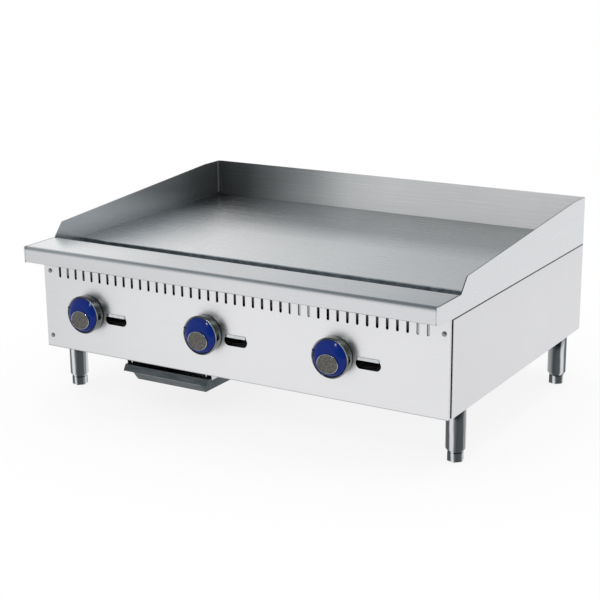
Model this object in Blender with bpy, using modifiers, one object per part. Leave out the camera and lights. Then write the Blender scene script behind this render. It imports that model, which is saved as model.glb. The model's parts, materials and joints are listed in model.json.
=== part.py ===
"""Countertop gas griddle: a thick steel plate over three burners, on four adjustable legs.

Metres, +Z up. The cook stands at -Y, and X runs from left to right as the cook sees it.
The origin is on the counter, at the middle of the griddle's footprint.
"""

import math

import bmesh
import bpy
from mathutils import Matrix, Vector

# Overall sizes
WIDTH = 0.914
LEDGE_DEPTH = 0.094
TROUGH_WIDTH = 0.080
PLATE_DEPTH = 0.5237
INLET_REACH = 0.026
UNDERSIDE_HEIGHT = 0.102
BODY_HEIGHT = 0.184

# Clearances
FIT = 0.0003
RUNNING_FIT = 0.0005
SLIDE_PLAY = 0.001

# Sheet metal
PANEL_SHEET = 0.0012
GUARD_SHEET = 0.002
LEDGE_SHEET = 0.0015
TROUGH_SHEET = 0.0015
TRAY_SHEET = 0.0015
BRACKET_SHEET = 0.002
SIDE_FLANGE = 0.025
PAN_UPTURN = 0.015

# Cooking plate, ledge, grease trough and splash guards
PLATE_THICKNESS = 0.020
PLATE_EDGE = 0.0015
LEDGE_RISE = 0.037
APRON_HEIGHT = 0.033
APRON_RETURN = 0.012
LEDGE_REAR_DROP = 0.018
LEDGE_BEND_INSIDE = 0.004
TROUGH_DROP = 0.041
TROUGH_TUCK = 0.004
TROUGH_FRONT_RISE = 0.032
GUARD_FRONT_RISE = 0.065
GUARD_REAR_RISE = 0.100
GUARD_FRONT_SLANT = 0.025
GUARD_LEVEL_RUN = 0.063
GUARD_CORNER = 0.008
GUARD_SEAM = 0.0012
GUARD_FILLET = 0.009
GUARD_FILLET_LIFT = 0.005

# Front panel
PANEL_SETBACK = 0.055
PANEL_RETURN = 0.0075
SIDE_REVEAL = 0.003
VENT_SLOTS = 42
VENT_SIDE_MARGIN = 0.0435
VENT_SLOT_WIDTH = 0.006
VENT_SLOT_LENGTH = 0.034
VENT_SLOT_DROP = 0.0345
WINDOW_LENGTH = 0.052
WINDOW_HEIGHT = 0.0205
WINDOW_RISE = 0.078

# Burners and gas line
BURNER_COUNT = 3
BURNER_SIDE_MARGIN = 0.172
BURNER_LEG_OFFSET = 0.0585
BURNER_RADIUS = 0.017
BURNER_FRONT = 0.0125
BURNER_REAR_MARGIN = 0.060
MIXER_LENGTH = 0.064
MIXER_BELL_RADIUS = 0.022
MIXER_THROAT_RADIUS = 0.013
MIXER_WALL = 0.003
MANIFOLD_RADIUS = 0.0134
MANIFOLD_DROP = 0.032
MANIFOLD_SETBACK = 0.040
MANIFOLD_OVERRUN = 0.040
SUPPLY_SIDE_MARGIN = 0.0435
MANIFOLD_PLUG_LENGTH = 0.014
MANIFOLD_PLUG_RADIUS = 0.017
SUPPLY_BEND = 0.024
SUPPLY_STRAIGHT = 0.006
SUPPLY_BORE_RADIUS = 0.0105
SUPPLY_BORE_DEPTH = 0.040
VALVE_RADIUS = 0.013
VALVE_FRONT = 0.010
VALVE_LENGTH = 0.046
VALVE_NECK_RADIUS = 0.009
VALVE_BORE_DEPTH = 0.022
ORIFICE_RADIUS = 0.007
ORIFICE_LENGTH = 0.013
ORIFICE_HOLE_RADIUS = 0.0012
PILOT_OFFSET = 0.010
PILOT_RADIUS = 0.005
PILOT_FLANGE_RADIUS = 0.009
PILOT_FLANGE = 0.003
PILOT_NOSE = 0.024
PILOT_TAIL = 0.020
PILOT_TUBE_RADIUS = 0.003
PILOT_TUBE_BEND = 0.014
BAFFLE_BEHIND_PLATE_EDGE = 0.008
RAIL_FRONT_SETBACK = 0.060
RAIL_REAR_INSET = 0.030
RAIL_FOOT = 0.022
RAIL_SADDLE_DEPTH = 0.005
RAIL_OVERHANG = 0.015
BRACKET_FOOT = 0.030
BRACKET_LEFT_STEP = 0.060
BRACKET_LEFT_WIDTH = 0.030
BRACKET_LEFT_HEIGHT = 0.090
BRACKET_RIGHT_STEP = -0.125
BRACKET_RIGHT_WIDTH = 0.062
BRACKET_RIGHT_HEIGHT = 0.170
BRACKET_STRAP_BEHIND_PANEL = 0.016

# Knobs
KNOB_RISE = 0.085
KNOB_RADIUS = 0.0387
KNOB_BASE_RADIUS = 0.0372
KNOB_LIP_WIDTH = 0.0025
KNOB_LIP_REACH = 0.021
KNOB_STAND_OFF = 0.002
KNOB_FLOOR = 0.003
GRIP_SHOULDER = 0.020
GRIP_REACH = 0.027
GRIP_END_RADIUS = 0.0193
GRIP_END_DROP = 0.0085
GRIP_DOME = 1.6
CAP_RADIUS = 0.0185
CAP_WIDTH_RATIO = 1.2
CAP_THICKNESS = 0.0025
CAP_EDGE = 0.0008
STEM_RADIUS = 0.004
STEM_FLAT_DEPTH = 0.001
STEM_FLAT_LENGTH = 0.012
STEM_IN_GRIP = 0.015

# Grease chute and tray
TRAY_SIDE_MARGIN = 0.3047
TRAY_WIDTH = 0.165
TRAY_LEFT_FLANGE = 0.0247
TRAY_RIGHT_FLANGE = 0.0115
TRAY_HEIGHT = 0.0293
TRAY_DEPTH = 0.280
TRAY_TOP_GAP = 0.011
TRAY_NOSE_PROUD = 0.003
TRAY_LIP_HEIGHT = 0.0118
TRAY_LIP_LEAN = 0.007
TRAY_SLOPE_RUN = 0.014
RUNNER_TOP_FLANGE = 0.015
RUNNER_LEG = 0.010
RUNNER_LENGTH = 0.262
RUNNER_SETBACK = 0.013
CHUTE_LENGTH = 0.060
CHUTE_WIDTH = 0.040
CHUTE_FLANGE = 0.008
CHUTE_TRAY_GAP = 0.005

# Legs and feet
LEG_RADIUS = 0.019
LEG_SIDE_INSET = 0.001
LEG_FRONT_INSET = 0.062
LEG_REAR_INSET = 0.0725
LEG_TAPER_HEIGHT = 0.010
LEG_TAPER_RADIUS = 0.0155
LEG_STUD_RADIUS = 0.005
LEG_STUD_HEIGHT = 0.018
FOOT_HEIGHT = 0.018
FOOT_RADIUS = 0.0162
FOOT_CHAMFER = 0.002
FOOT_SIDES = 6
FOOT_TURN = math.radians(14)
FOOT_STUD_RADIUS = 0.006
FOOT_STUD_LENGTH = 0.042
LEG_BORE_SPARE = 0.004

# Openings in the bottom and the rear
AIR_SLOTS = 5
AIR_SLOT_LENGTH = 0.120
AIR_SLOT_WIDTH = 0.010
AIR_SLOT_PITCH = 0.030
AIR_SLOT_SETBACK = 0.250
REAR_VENTS = 12
REAR_VENT_SIDE_MARGIN = 0.182
REAR_VENT_WIDTH = 0.010
REAR_VENT_HEIGHT = 0.050
REAR_VENT_RISE = 0.110

ROUND_STEPS = 24
SMALL_STEPS = 12
SLOT_STEPS = 8
ARC_STEPS = 3

# Places worked out from the sizes
BODY_DEPTH = LEDGE_DEPTH + TROUGH_WIDTH + PLATE_DEPTH + FIT + GUARD_SHEET
Y_LEDGE = -(BODY_DEPTH + INLET_REACH) / 2
Y_PANEL = Y_LEDGE + PANEL_SETBACK
Y_SIDE = Y_PANEL + PANEL_RETURN + SIDE_REVEAL
Y_TROUGH = Y_LEDGE + LEDGE_DEPTH
Y_PLATE = Y_TROUGH + TROUGH_WIDTH
Y_GUARD = Y_PLATE + PLATE_DEPTH + FIT
Y_REAR = Y_GUARD + GUARD_SHEET
Y_REAR_PANEL = Y_REAR - 2 * PANEL_SHEET - FIT
Y_INLET = Y_REAR + INLET_REACH
Y_MANIFOLD = Y_PANEL + MANIFOLD_SETBACK
Y_BAFFLE = Y_PLATE + BAFFLE_BEHIND_PLATE_EDGE
Y_BURNER = Y_BAFFLE + BURNER_FRONT
Y_CHUTE = Y_TROUGH + TROUGH_WIDTH / 2
Y_VALVE = Y_PANEL + VALVE_FRONT

Z_SEAM = UNDERSIDE_HEIGHT + BODY_HEIGHT
Z_PLATE_BASE = Z_SEAM + FIT
Z_PLATE_TOP = Z_PLATE_BASE + PLATE_THICKNESS
Z_LEDGE = Z_SEAM + LEDGE_RISE
Z_APRON = Z_LEDGE - APRON_HEIGHT
Z_TROUGH = Z_SEAM - TROUGH_DROP
Z_GUARD_FRONT = Z_SEAM + GUARD_FRONT_RISE
Z_GUARD_REAR = Z_SEAM + GUARD_REAR_RISE
Z_PAN = UNDERSIDE_HEIGHT + PANEL_SHEET + FIT
Z_PAN_TOP = Z_PAN + PANEL_SHEET
Z_KNOB = UNDERSIDE_HEIGHT + KNOB_RISE
Z_MANIFOLD = Z_KNOB - MANIFOLD_DROP
Z_TRAY_TOP = UNDERSIDE_HEIGHT - TRAY_TOP_GAP

HALF_WIDTH = WIDTH / 2
HALF_INNER = HALF_WIDTH - GUARD_SHEET - FIT
HALF_PAN = HALF_INNER - PANEL_SHEET - FIT
SUPPLY_X = HALF_WIDTH - SUPPLY_SIDE_MARGIN
TRAY_X = TRAY_SIDE_MARGIN - HALF_WIDTH
LEG_X = HALF_WIDTH - LEG_SIDE_INSET - LEG_RADIUS
LEG_YS = {"front": Y_SIDE + LEG_FRONT_INSET, "rear": Y_REAR - LEG_REAR_INSET}


def row(count, pitch):
    """Places of a centred row with the given pitch."""
    return [(index - (count - 1) / 2) * pitch for index in range(count)]


def row_across(count, margin):
    """Places of a row across the griddle's width, with a margin to the middle of its end places."""
    return row(count, (WIDTH - 2 * margin) / max(count - 1, 1))


BURNER_XS = row_across(BURNER_COUNT, BURNER_SIDE_MARGIN)

OBJECT_NAME = "flat_top_griddle"


def clear_scene():
    """Remove every object that the scene starts with."""
    for obj in list(bpy.data.objects):
        bpy.data.objects.remove(obj, do_unlink=True)


def new_collection(name):
    """Make a collection under the scene's own."""
    collection = bpy.data.collections.new(name)
    bpy.context.scene.collection.children.link(collection)
    return collection


def new_finish(name, colour, roughness, metallic):
    """Make a plain material with the finish of one kind of piece."""
    material = bpy.data.materials.new(name)
    material.use_nodes = True
    shader = material.node_tree.nodes["Principled BSDF"]
    shader.inputs["Base Color"].default_value = (*colour, 1.0)
    shader.inputs["Roughness"].default_value = roughness
    shader.inputs["Metallic"].default_value = metallic
    material.diffuse_color = (*colour, 1.0)
    return material


clear_scene()
PARTS = new_collection(OBJECT_NAME)
CUTTERS = new_collection("cutters")
BRUSHED = new_finish("brushed_stainless", (0.72, 0.73, 0.74), 0.32, 1.0)
PLATE_STEEL = new_finish("ground_plate_steel", (0.45, 0.46, 0.47), 0.38, 1.0)
POLISHED = new_finish("polished_steel", (0.70, 0.71, 0.73), 0.15, 1.0)
CHROME = new_finish("chrome", (0.66, 0.68, 0.70), 0.10, 1.0)
BLUE = new_finish("blue_plastic", (0.02, 0.06, 0.30), 0.18, 0.0)
SILVER = new_finish("satin_silver", (0.52, 0.51, 0.50), 0.40, 1.0)
SLATE = new_finish("dark_tray_steel", (0.10, 0.11, 0.13), 0.45, 0.8)
GALVANISED = new_finish("galvanised_steel", (0.50, 0.51, 0.52), 0.45, 1.0)
BRASS = new_finish("brass", (0.60, 0.42, 0.16), 0.30, 1.0)
IRON = new_finish("burner_iron", (0.12, 0.12, 0.12), 0.60, 0.9)


def place(obj, material=None):
    """Put a finished piece among the parts, or a bare one among the cutters."""
    for collection in list(obj.users_collection):
        collection.objects.unlink(obj)
    if material is None:
        CUTTERS.objects.link(obj)
        obj.hide_render = True
        obj.display_type = "WIRE"
        return obj
    PARTS.objects.link(obj)
    obj.data.materials.clear()
    obj.data.materials.append(material)
    return obj


def mesh_object(name, build, material=None, location=(0, 0, 0), rotation=(0, 0, 0)):
    """Make an object from a mesh that the given function builds."""
    work = bmesh.new()
    build(work)
    mesh = bpy.data.meshes.new(name)
    work.to_mesh(mesh)
    work.free()
    obj = bpy.data.objects.new(name, mesh)
    obj.location = location
    obj.rotation_euler = rotation
    return place(obj, material)


def add_box(work, low, high):
    """Add a cube stretched between two corners."""
    size = Vector(high) - Vector(low)
    middle = (Vector(high) + Vector(low)) / 2
    matrix = Matrix.Translation(middle) @ Matrix.Diagonal((*size, 1))
    return bmesh.ops.create_cube(work, size=1, matrix=matrix)


def box(name, low, high, material=None):
    """Make a solid block between two corners."""
    return mesh_object(name, lambda work: add_box(work, low, high), material)


def add_rod(work, radius, start, end):
    """Add a closed cylinder between two points."""
    start = Vector(start)
    end = Vector(end)
    turn = (end - start).to_track_quat("Z", "Y").to_matrix().to_4x4()
    matrix = Matrix.Translation((start + end) / 2) @ turn
    bmesh.ops.create_cone(
        work, cap_ends=True, segments=SMALL_STEPS, radius1=radius, radius2=radius,
        depth=(end - start).length, matrix=matrix)


def rods(name, radius, spans, material=None):
    """Make one object from cylinders of one radius, each between a pair of points."""
    def build(work):
        for start, end in spans:
            add_rod(work, radius, start, end)
    return mesh_object(name, build, material)


def holes(name, radius, spans):
    """Make a cutter of round holes whose flats stay clear of a shaft of the given radius."""
    return rods(name, radius / math.cos(math.pi / SMALL_STEPS), spans)


def slots(name, centres, length, width, reach, along, through, steps=SLOT_STEPS):
    """Make a cutter of round-ended slots, long along one axis and cut through along another."""
    along = Vector(along)
    through = Vector(through)
    across = along.cross(through)
    frame = Matrix((across, along, through)).transposed().to_4x4()
    half_straight = (length - width) / 2
    half_step = Matrix.Rotation(math.pi / steps, 4, "Z")

    def build(work):
        for centre in centres:
            made = bmesh.ops.create_cone(
                work, cap_ends=True, segments=steps, radius1=width / 2, radius2=width / 2, depth=reach,
                matrix=half_step)
            for vert in made["verts"]:
                vert.co.y += math.copysign(half_straight, vert.co.y)
                vert.co = Matrix.Translation(centre) @ frame @ vert.co
    return mesh_object(name, build)


def cut(obj, *cutters):
    """Take each cutter out of a piece."""
    for cutter in cutters:
        boolean = obj.modifiers.new("cut " + cutter.name, "BOOLEAN")
        boolean.operation = "DIFFERENCE"
        boolean.object = cutter
    return obj


def join(obj, *others):
    """Weld other bodies to a piece."""
    for other in others:
        boolean = obj.modifiers.new("weld " + other.name, "BOOLEAN")
        boolean.operation = "UNION"
        boolean.object = other
    return obj


SIDE_NORMALS = {
    "left": (-1, 0, 0),
    "right": (1, 0, 0),
    "front": (0, -1, 0),
    "rear": (0, 1, 0),
    "top": (0, 0, 1),
}


def shell(name, low, high, open_sides, sheet, material, reshape=None):
    """Fold a box of sheet metal that is open on the named sides, with its outside on the box."""
    def build(work):
        add_box(work, low, high)
        work.normal_update()
        open_faces = []
        for side in open_sides:
            outward = Vector(SIDE_NORMALS[side])
            open_faces += [face for face in work.faces if face.normal.dot(outward) > 0.9]
        bmesh.ops.delete(work, geom=open_faces, context="FACES")
        if reshape:
            reshape(work)
    obj = mesh_object(name, build, material)
    solid = obj.modifiers.new("sheet", "SOLIDIFY")
    solid.thickness = sheet
    solid.offset = -1
    solid.use_even_offset = True
    return obj


def rounded(points, radius, steps=ARC_STEPS):
    """Round the inner corners of an open path of 2D points."""
    path = [Vector(points[0])]
    for before, corner, after in zip(points, points[1:], points[2:]):
        corner = Vector(corner)
        back = (Vector(before) - corner).normalized()
        ahead = (Vector(after) - corner).normalized()
        half = back.angle(ahead) / 2
        reach = radius / math.tan(half)
        centre = corner + (back + ahead).normalized() * (radius / math.sin(half))
        start = corner + back * reach - centre
        sweep = (corner + ahead * reach - centre).angle_signed(start)
        for step in range(steps + 1):
            turned = start.copy()
            turned.rotate(Matrix.Rotation(sweep * step / steps, 2))
            path.append(centre + turned)
    path.append(Vector(points[-1]))
    return path


def sheet_outline(path, sheet):
    """Close an open path into the section of a folded sheet that lies on the path's right."""
    inner = []
    for index, point in enumerate(path):
        before = path[max(index - 1, 0)]
        after = path[min(index + 1, len(path) - 1)]
        normals = []
        for start, end in ((before, point), (point, after)):
            if (end - start).length > 0:
                step = (end - start).normalized()
                normals.append(Vector((step.y, -step.x)))
        mitre = sum(normals, Vector((0, 0))).normalized()
        inner.append(point + mitre * (sheet / mitre.dot(normals[0])))
    return list(path) + inner[::-1]


AXIS_FRAMES = {
    "X": Matrix(((0, 0, 1), (1, 0, 0), (0, 1, 0))),
    "Y": Matrix(((-1, 0, 0), (0, 0, 1), (0, 1, 0))),
    "Z": Matrix.Identity(3),
}


def prism(name, outline, axis, start, end, material=None):
    """Draw a flat outline and give it length along an axis, from start to end."""
    curve = bpy.data.curves.new(name, "CURVE")
    curve.dimensions = "2D"
    curve.fill_mode = "BOTH"
    curve.extrude = (end - start) / 2
    spline = curve.splines.new("POLY")
    spline.points.add(len(outline) - 1)
    for point, place_2d in zip(spline.points, outline):
        point.co = (place_2d[0], place_2d[1], 0, 1)
    spline.use_cyclic_u = True
    drawn = bpy.data.objects.new(name + " outline", curve)
    bpy.context.scene.collection.objects.link(drawn)
    frame = AXIS_FRAMES[axis]
    matrix = Matrix.Translation(frame.col[2] * (start + end) / 2) @ frame.to_4x4()
    obj = bpy.data.objects.new(name, solid_mesh(drawn, name, matrix))
    return place(obj, material)


def solid_mesh(drawn, name, matrix):
    """Turn a curve object into a closed mesh with its caps welded, and remove the curve."""
    bpy.context.view_layer.update()
    mesh = bpy.data.meshes.new_from_object(drawn.evaluated_get(bpy.context.evaluated_depsgraph_get()))
    mesh.name = name
    bpy.data.objects.remove(drawn, do_unlink=True)
    work = bmesh.new()
    work.from_mesh(mesh)
    bmesh.ops.remove_doubles(work, verts=work.verts, dist=1e-6)
    bmesh.ops.transform(work, matrix=matrix, verts=work.verts)
    bmesh.ops.recalc_face_normals(work, faces=work.faces)
    work.to_mesh(mesh)
    work.free()
    return mesh


def tube(name, route, radius, material, sides=2):
    """Make a round bar along a route of points, as a closed mesh."""
    curve = bpy.data.curves.new(name, "CURVE")
    curve.dimensions = "3D"
    curve.bevel_depth = radius
    curve.bevel_resolution = sides
    curve.use_fill_caps = True
    spline = curve.splines.new("POLY")
    spline.points.add(len(route) - 1)
    for point, at in zip(spline.points, route):
        point.co = (*at, 1)
    drawn = bpy.data.objects.new(name + " route", curve)
    bpy.context.scene.collection.objects.link(drawn)
    obj = bpy.data.objects.new(name, solid_mesh(drawn, name, Matrix.Identity(4)))
    obj.data.shade_smooth()
    return place(obj, material)


def turned(name, profile, material, location, rotation=(0, 0, 0), steps=ROUND_STEPS, closed=False):
    """Turn a profile of (radius, height) points about the vertical axis."""
    def build(work):
        verts = [work.verts.new((radius, 0, height)) for radius, height in profile]
        pairs = list(zip(verts, verts[1:]))
        if closed:
            pairs.append((verts[-1], verts[0]))
        for pair in pairs:
            work.edges.new(pair)
    obj = mesh_object(name, build, material, location, rotation)
    screw = obj.modifiers.new("turn", "SCREW")
    screw.steps = steps
    screw.render_steps = steps
    screw.use_merge_vertices = True
    screw.merge_threshold = 1e-6
    screw.use_smooth_shade = True
    return obj


def loft(rings):
    """Make a builder of a solid through oval rings of (centre's drop, radius, width ratio, height)."""
    def build(work):
        loops = []
        for drop, radius, ratio, height in rings:
            place = Matrix.Translation((0, -drop, height)) @ Matrix.Diagonal((ratio, 1, 1, 1))
            made = bmesh.ops.create_circle(work, segments=ROUND_STEPS, radius=radius, matrix=place)
            loops.append(made["verts"])
        for lower, upper in zip(loops, loops[1:]):
            for index in range(ROUND_STEPS):
                following = (index + 1) % ROUND_STEPS
                work.faces.new((lower[index], lower[following], upper[following], upper[index]))
        work.faces.new(loops[-1])
        work.faces.new(loops[0][::-1])
        bmesh.ops.recalc_face_normals(work, faces=work.faces)
    return build


FACING_FRONT = (math.pi / 2, 0, 0)
FACING_REAR = (-math.pi / 2, 0, 0)
FACING_RIGHT = (0, math.pi / 2, 0)


def through_holes(name, radius, xs, y, z):
    """Make a cutter of holes that run from front to rear through a sheet at the given place."""
    return holes(name, radius, [((x, y - SIDE_FLANGE, z), (x, y + SIDE_FLANGE, z)) for x in xs])


def leg_places():
    """Name and place of each leg's axis."""
    for end, y in LEG_YS.items():
        for side, x in (("left", -LEG_X), ("right", LEG_X)):
            yield f"{end}_{side}", x, y


def trough_box():
    """Lowest and highest corner of the grease trough, up to its rear wall's edge."""
    low = (-HALF_INNER, Y_TROUGH + FIT, Z_TROUGH)
    high = (HALF_INNER, Y_PLATE + TROUGH_TUCK, Z_SEAM - FIT)
    return low, high


def make_side_panels():
    """Folded side panels: outer face with flanges along the top, bottom and rear."""
    trough_low, trough_high = trough_box()
    for side, inward, sign in (("left", "right", -1), ("right", "left", 1)):
        inner_x, outer_x = sorted((sign * (HALF_WIDTH - SIDE_FLANGE), sign * HALF_WIDTH))
        panel = shell(
            f"{side}_side_panel", (inner_x, Y_SIDE, UNDERSIDE_HEIGHT), (outer_x, Y_REAR, Z_SEAM),
            [inward, "front"], PANEL_SHEET, BRUSHED)
        notch_from, notch_to = sorted((sign * (HALF_INNER + FIT), sign * (HALF_WIDTH - 2 * SIDE_FLANGE)))
        notch = box(
            f"{side} trough notch", (notch_from, trough_low[1] - FIT, trough_low[2] - FIT),
            (notch_to, trough_high[1] + FIT, Z_SEAM + SIDE_FLANGE))
        studs = holes(
            f"{side} stud holes", LEG_STUD_RADIUS + RUNNING_FIT,
            [((sign * LEG_X, y, 0), (sign * LEG_X, y, Z_PAN)) for y in LEG_YS.values()])
        cut(panel, notch, studs)


def make_rear_panel():
    """Rear sheet inside the side panels' flanges, with vents and the gas pipe's hole."""
    panel = box(
        "rear_panel", (-HALF_INNER, Y_REAR_PANEL, Z_PAN),
        (HALF_INNER, Y_REAR_PANEL + PANEL_SHEET, Z_SEAM - PANEL_SHEET - FIT), BRUSHED)
    vent_z = UNDERSIDE_HEIGHT + REAR_VENT_RISE
    vents = slots(
        "rear vents", [(x, Y_REAR_PANEL, vent_z) for x in row_across(REAR_VENTS, REAR_VENT_SIDE_MARGIN)],
        REAR_VENT_HEIGHT, REAR_VENT_WIDTH, SIDE_FLANGE, (0, 0, 1), (0, 1, 0))
    pipe = through_holes("rear pipe hole", MANIFOLD_RADIUS + RUNNING_FIT, [SUPPLY_X], Y_REAR, Z_MANIFOLD)
    cut(panel, vents, pipe)


def make_bottom_pan():
    """Shallow pan on the side panels' lower flanges, open for air, the chute and the leg studs."""
    low_y = Y_PANEL + PANEL_SHEET + FIT
    high_y = Y_REAR_PANEL - FIT
    pan = shell(
        "bottom_pan", (-HALF_PAN, low_y, Z_PAN), (HALF_PAN, high_y, Z_PAN + PAN_UPTURN), ["top"],
        PANEL_SHEET, BRUSHED)
    reach = 2 * PAN_UPTURN
    air_ys = [Y_PLATE + AIR_SLOT_SETBACK + step for step in row(AIR_SLOTS, AIR_SLOT_PITCH)]
    air = slots(
        "air slots", [(x, y, Z_PAN) for x in BURNER_XS for y in air_ys],
        AIR_SLOT_LENGTH, AIR_SLOT_WIDTH, reach, (1, 0, 0), (0, 0, 1))
    studs = holes(
        "pan stud holes", LEG_STUD_RADIUS + RUNNING_FIT,
        [((x, y, Z_PAN - reach), (x, y, Z_PAN + reach)) for _, x, y in leg_places()])
    half_x = CHUTE_LENGTH / 2 + RUNNING_FIT
    half_y = CHUTE_WIDTH / 2 + RUNNING_FIT
    chute = box(
        "pan chute hole", (TRAY_X - half_x, Y_CHUTE - half_y, Z_PAN - reach),
        (TRAY_X + half_x, Y_CHUTE + half_y, Z_PAN + reach))
    cut(pan, air, studs, chute)


def make_front_panel():
    """Control panel with a row of vent slots, three stem holes and three pilot windows."""
    panel = shell(
        "front_panel", (-HALF_INNER, Y_PANEL, UNDERSIDE_HEIGHT),
        (HALF_INNER, Y_PANEL + PANEL_RETURN, Z_LEDGE - LEDGE_SHEET - FIT), ["rear"], PANEL_SHEET, BRUSHED)
    reach = PANEL_RETURN
    slot_z = Z_SEAM - VENT_SLOT_DROP + VENT_SLOT_LENGTH / 2
    vents = slots(
        "vent slots", [(x, Y_PANEL, slot_z) for x in row_across(VENT_SLOTS, VENT_SIDE_MARGIN)],
        VENT_SLOT_LENGTH, VENT_SLOT_WIDTH, reach, (0, 0, 1), (0, 1, 0))
    windows = slots(
        "pilot windows", [(x + PILOT_OFFSET, Y_PANEL, UNDERSIDE_HEIGHT + WINDOW_RISE) for x in BURNER_XS],
        WINDOW_LENGTH, WINDOW_HEIGHT, reach, (1, 0, 0), (0, 1, 0), ROUND_STEPS)
    stems = through_holes(
        "stem holes", STEM_RADIUS + SLIDE_PLAY, [x - BURNER_LEG_OFFSET for x in BURNER_XS], Y_PANEL, Z_KNOB)
    cut(panel, vents, windows, stems)


def make_ledge():
    """Bull-nosed plating ledge, folded from one sheet across the whole front."""
    front, rear = Y_LEDGE, Y_TROUGH
    folds = [
        (front + APRON_RETURN, Z_APRON), (front, Z_APRON), (front, Z_LEDGE), (rear, Z_LEDGE),
        (rear, Z_LEDGE - LEDGE_REAR_DROP)]
    path = rounded(folds, LEDGE_BEND_INSIDE + LEDGE_SHEET)
    prism("front_ledge", sheet_outline(path, LEDGE_SHEET), "X", -HALF_INNER, HALF_INNER, BRUSHED)


def make_side_guards():
    """Side splash guards, low at the ledge, stepping up and rising to the rear corner."""
    step_up = (Y_TROUGH + GUARD_FRONT_SLANT, Z_GUARD_FRONT)
    level = (Y_REAR - GUARD_LEVEL_RUN, Z_GUARD_REAR)
    corner = rounded([(Y_TROUGH, Z_LEDGE), step_up, level], GUARD_CORNER)
    seam = Z_SEAM + GUARD_SEAM
    outline = [(Y_LEDGE, Z_APRON), (Y_LEDGE, Z_LEDGE)] + corner + [
        (Y_REAR, Z_GUARD_REAR), (Y_REAR, seam), (Y_PANEL, seam), (Y_PANEL, Z_APRON)]
    for side, start in (("left", -HALF_WIDTH), ("right", HALF_WIDTH - GUARD_SHEET)):
        prism(f"{side}_splash", outline, "X", start, start + GUARD_SHEET, BRUSHED)


def make_rear_guard():
    """Rear splash guard: an upright sheet behind the plate, with a rounded fillet in each corner."""
    guard = box(
        "rear_splash", (-HALF_INNER, Y_GUARD, Z_PLATE_BASE), (HALF_INNER, Y_REAR, Z_GUARD_REAR), BRUSHED)
    inside = Y_GUARD + GUARD_SHEET / 2
    start = HALF_INNER - GUARD_FILLET
    angles = [math.pi / 2 * step / ARC_STEPS for step in range(ARC_STEPS + 1)]
    arc = [
        (start + GUARD_FILLET * math.sin(angle), Y_GUARD - GUARD_FILLET * (1 - math.cos(angle)))
        for angle in angles]
    for side, sign in (("left", -1), ("right", 1)):
        outline = [(sign * x, y) for x, y in arc + [(HALF_INNER, inside), (start, inside)]]
        join(guard, prism(
            f"{side} corner fillet", outline, "Z", Z_PLATE_TOP + GUARD_FILLET_LIFT, Z_GUARD_REAR))


def make_plate():
    """Thick ground steel plate, its edges broken by a small chamfer."""
    plate = box(
        "griddle_plate", (-HALF_INNER, Y_PLATE, Z_PLATE_BASE),
        (HALF_INNER, Y_PLATE + PLATE_DEPTH, Z_PLATE_TOP), PLATE_STEEL)
    bevel = plate.modifiers.new("broken edge", "BEVEL")
    bevel.width = PLATE_EDGE
    bevel.segments = 2


def make_trough_and_chute():
    """Grease trough across the front of the plate, and the duct that drains it into the tray."""
    low, high = trough_box()

    def raise_front(work):
        for vert in work.verts:
            if vert.co.z > Z_TROUGH + FIT and vert.co.y < Y_CHUTE:
                vert.co.z = Z_SEAM + TROUGH_FRONT_RISE
    trough = shell("grease_trough", low, high, ["top"], TROUGH_SHEET, BRUSHED, raise_front)
    half_x = CHUTE_LENGTH / 2
    half_y = CHUTE_WIDTH / 2
    inner_x = half_x - TROUGH_SHEET
    inner_y = half_y - TROUGH_SHEET
    drain = box(
        "trough drain", (TRAY_X - inner_x, Y_CHUTE - inner_y, Z_TROUGH - SIDE_FLANGE),
        (TRAY_X + inner_x, Y_CHUTE + inner_y, Z_TROUGH + TROUGH_TUCK))
    cut(trough, drain)

    top = Z_TROUGH - FIT
    bottom = Z_TRAY_TOP + CHUTE_TRAY_GAP
    chute = box(
        "grease_chute", (TRAY_X - half_x, Y_CHUTE - half_y, bottom),
        (TRAY_X + half_x, Y_CHUTE + half_y, top - TROUGH_SHEET / 2), GALVANISED)
    flange_x = half_x + CHUTE_FLANGE
    flange_y = half_y + CHUTE_FLANGE
    flange = box(
        "chute flange", (TRAY_X - flange_x, Y_CHUTE - flange_y, top - TROUGH_SHEET),
        (TRAY_X + flange_x, Y_CHUTE + flange_y, top))
    duct = box(
        "chute duct", (TRAY_X - inner_x, Y_CHUTE - inner_y, bottom - SIDE_FLANGE),
        (TRAY_X + inner_x, Y_CHUTE + inner_y, top + SIDE_FLANGE))
    join(chute, flange)
    cut(chute, duct)


def make_tray():
    """Pull-out grease tray: sloped front, a nose to pull on and sliding flanges, the left one wider."""
    half = TRAY_WIDTH / 2
    top = Z_TRAY_TOP
    bottom = top - TRAY_HEIGHT
    nose = Vector((Y_PANEL - TRAY_NOSE_PROUD, top - TRAY_LIP_HEIGHT))
    brim = Vector((nose.x + TRAY_LIP_LEAN, top))
    foot = Vector((nose.x + TRAY_SLOPE_RUN, bottom))
    rear = nose.x + TRAY_DEPTH
    path = [Vector((rear, top)), Vector((rear, bottom)), foot, nose, brim]
    inside = sheet_outline(path, TRAY_SHEET)[:len(path) - 1:-1]
    above = top + TRAY_SHEET
    hollow = inside + [Vector((inside[-1].x, above)), Vector((inside[0].x, above))]
    tray = prism("grease_tray", path, "X", TRAY_X - half, TRAY_X + half, SLATE)
    cut(tray, prism("tray hollow", hollow, "X", TRAY_X - half + TRAY_SHEET, TRAY_X + half - TRAY_SHEET))
    wing = sheet_outline([nose, brim, Vector((rear, top))], TRAY_SHEET)
    overlap = TRAY_SHEET / 2
    join(
        tray, prism("tray left wing", wing, "X", TRAY_X - half - TRAY_LEFT_FLANGE, TRAY_X - half + overlap),
        prism("tray right wing", wing, "X", TRAY_X + half - overlap, TRAY_X + half + TRAY_RIGHT_FLANGE))


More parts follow.
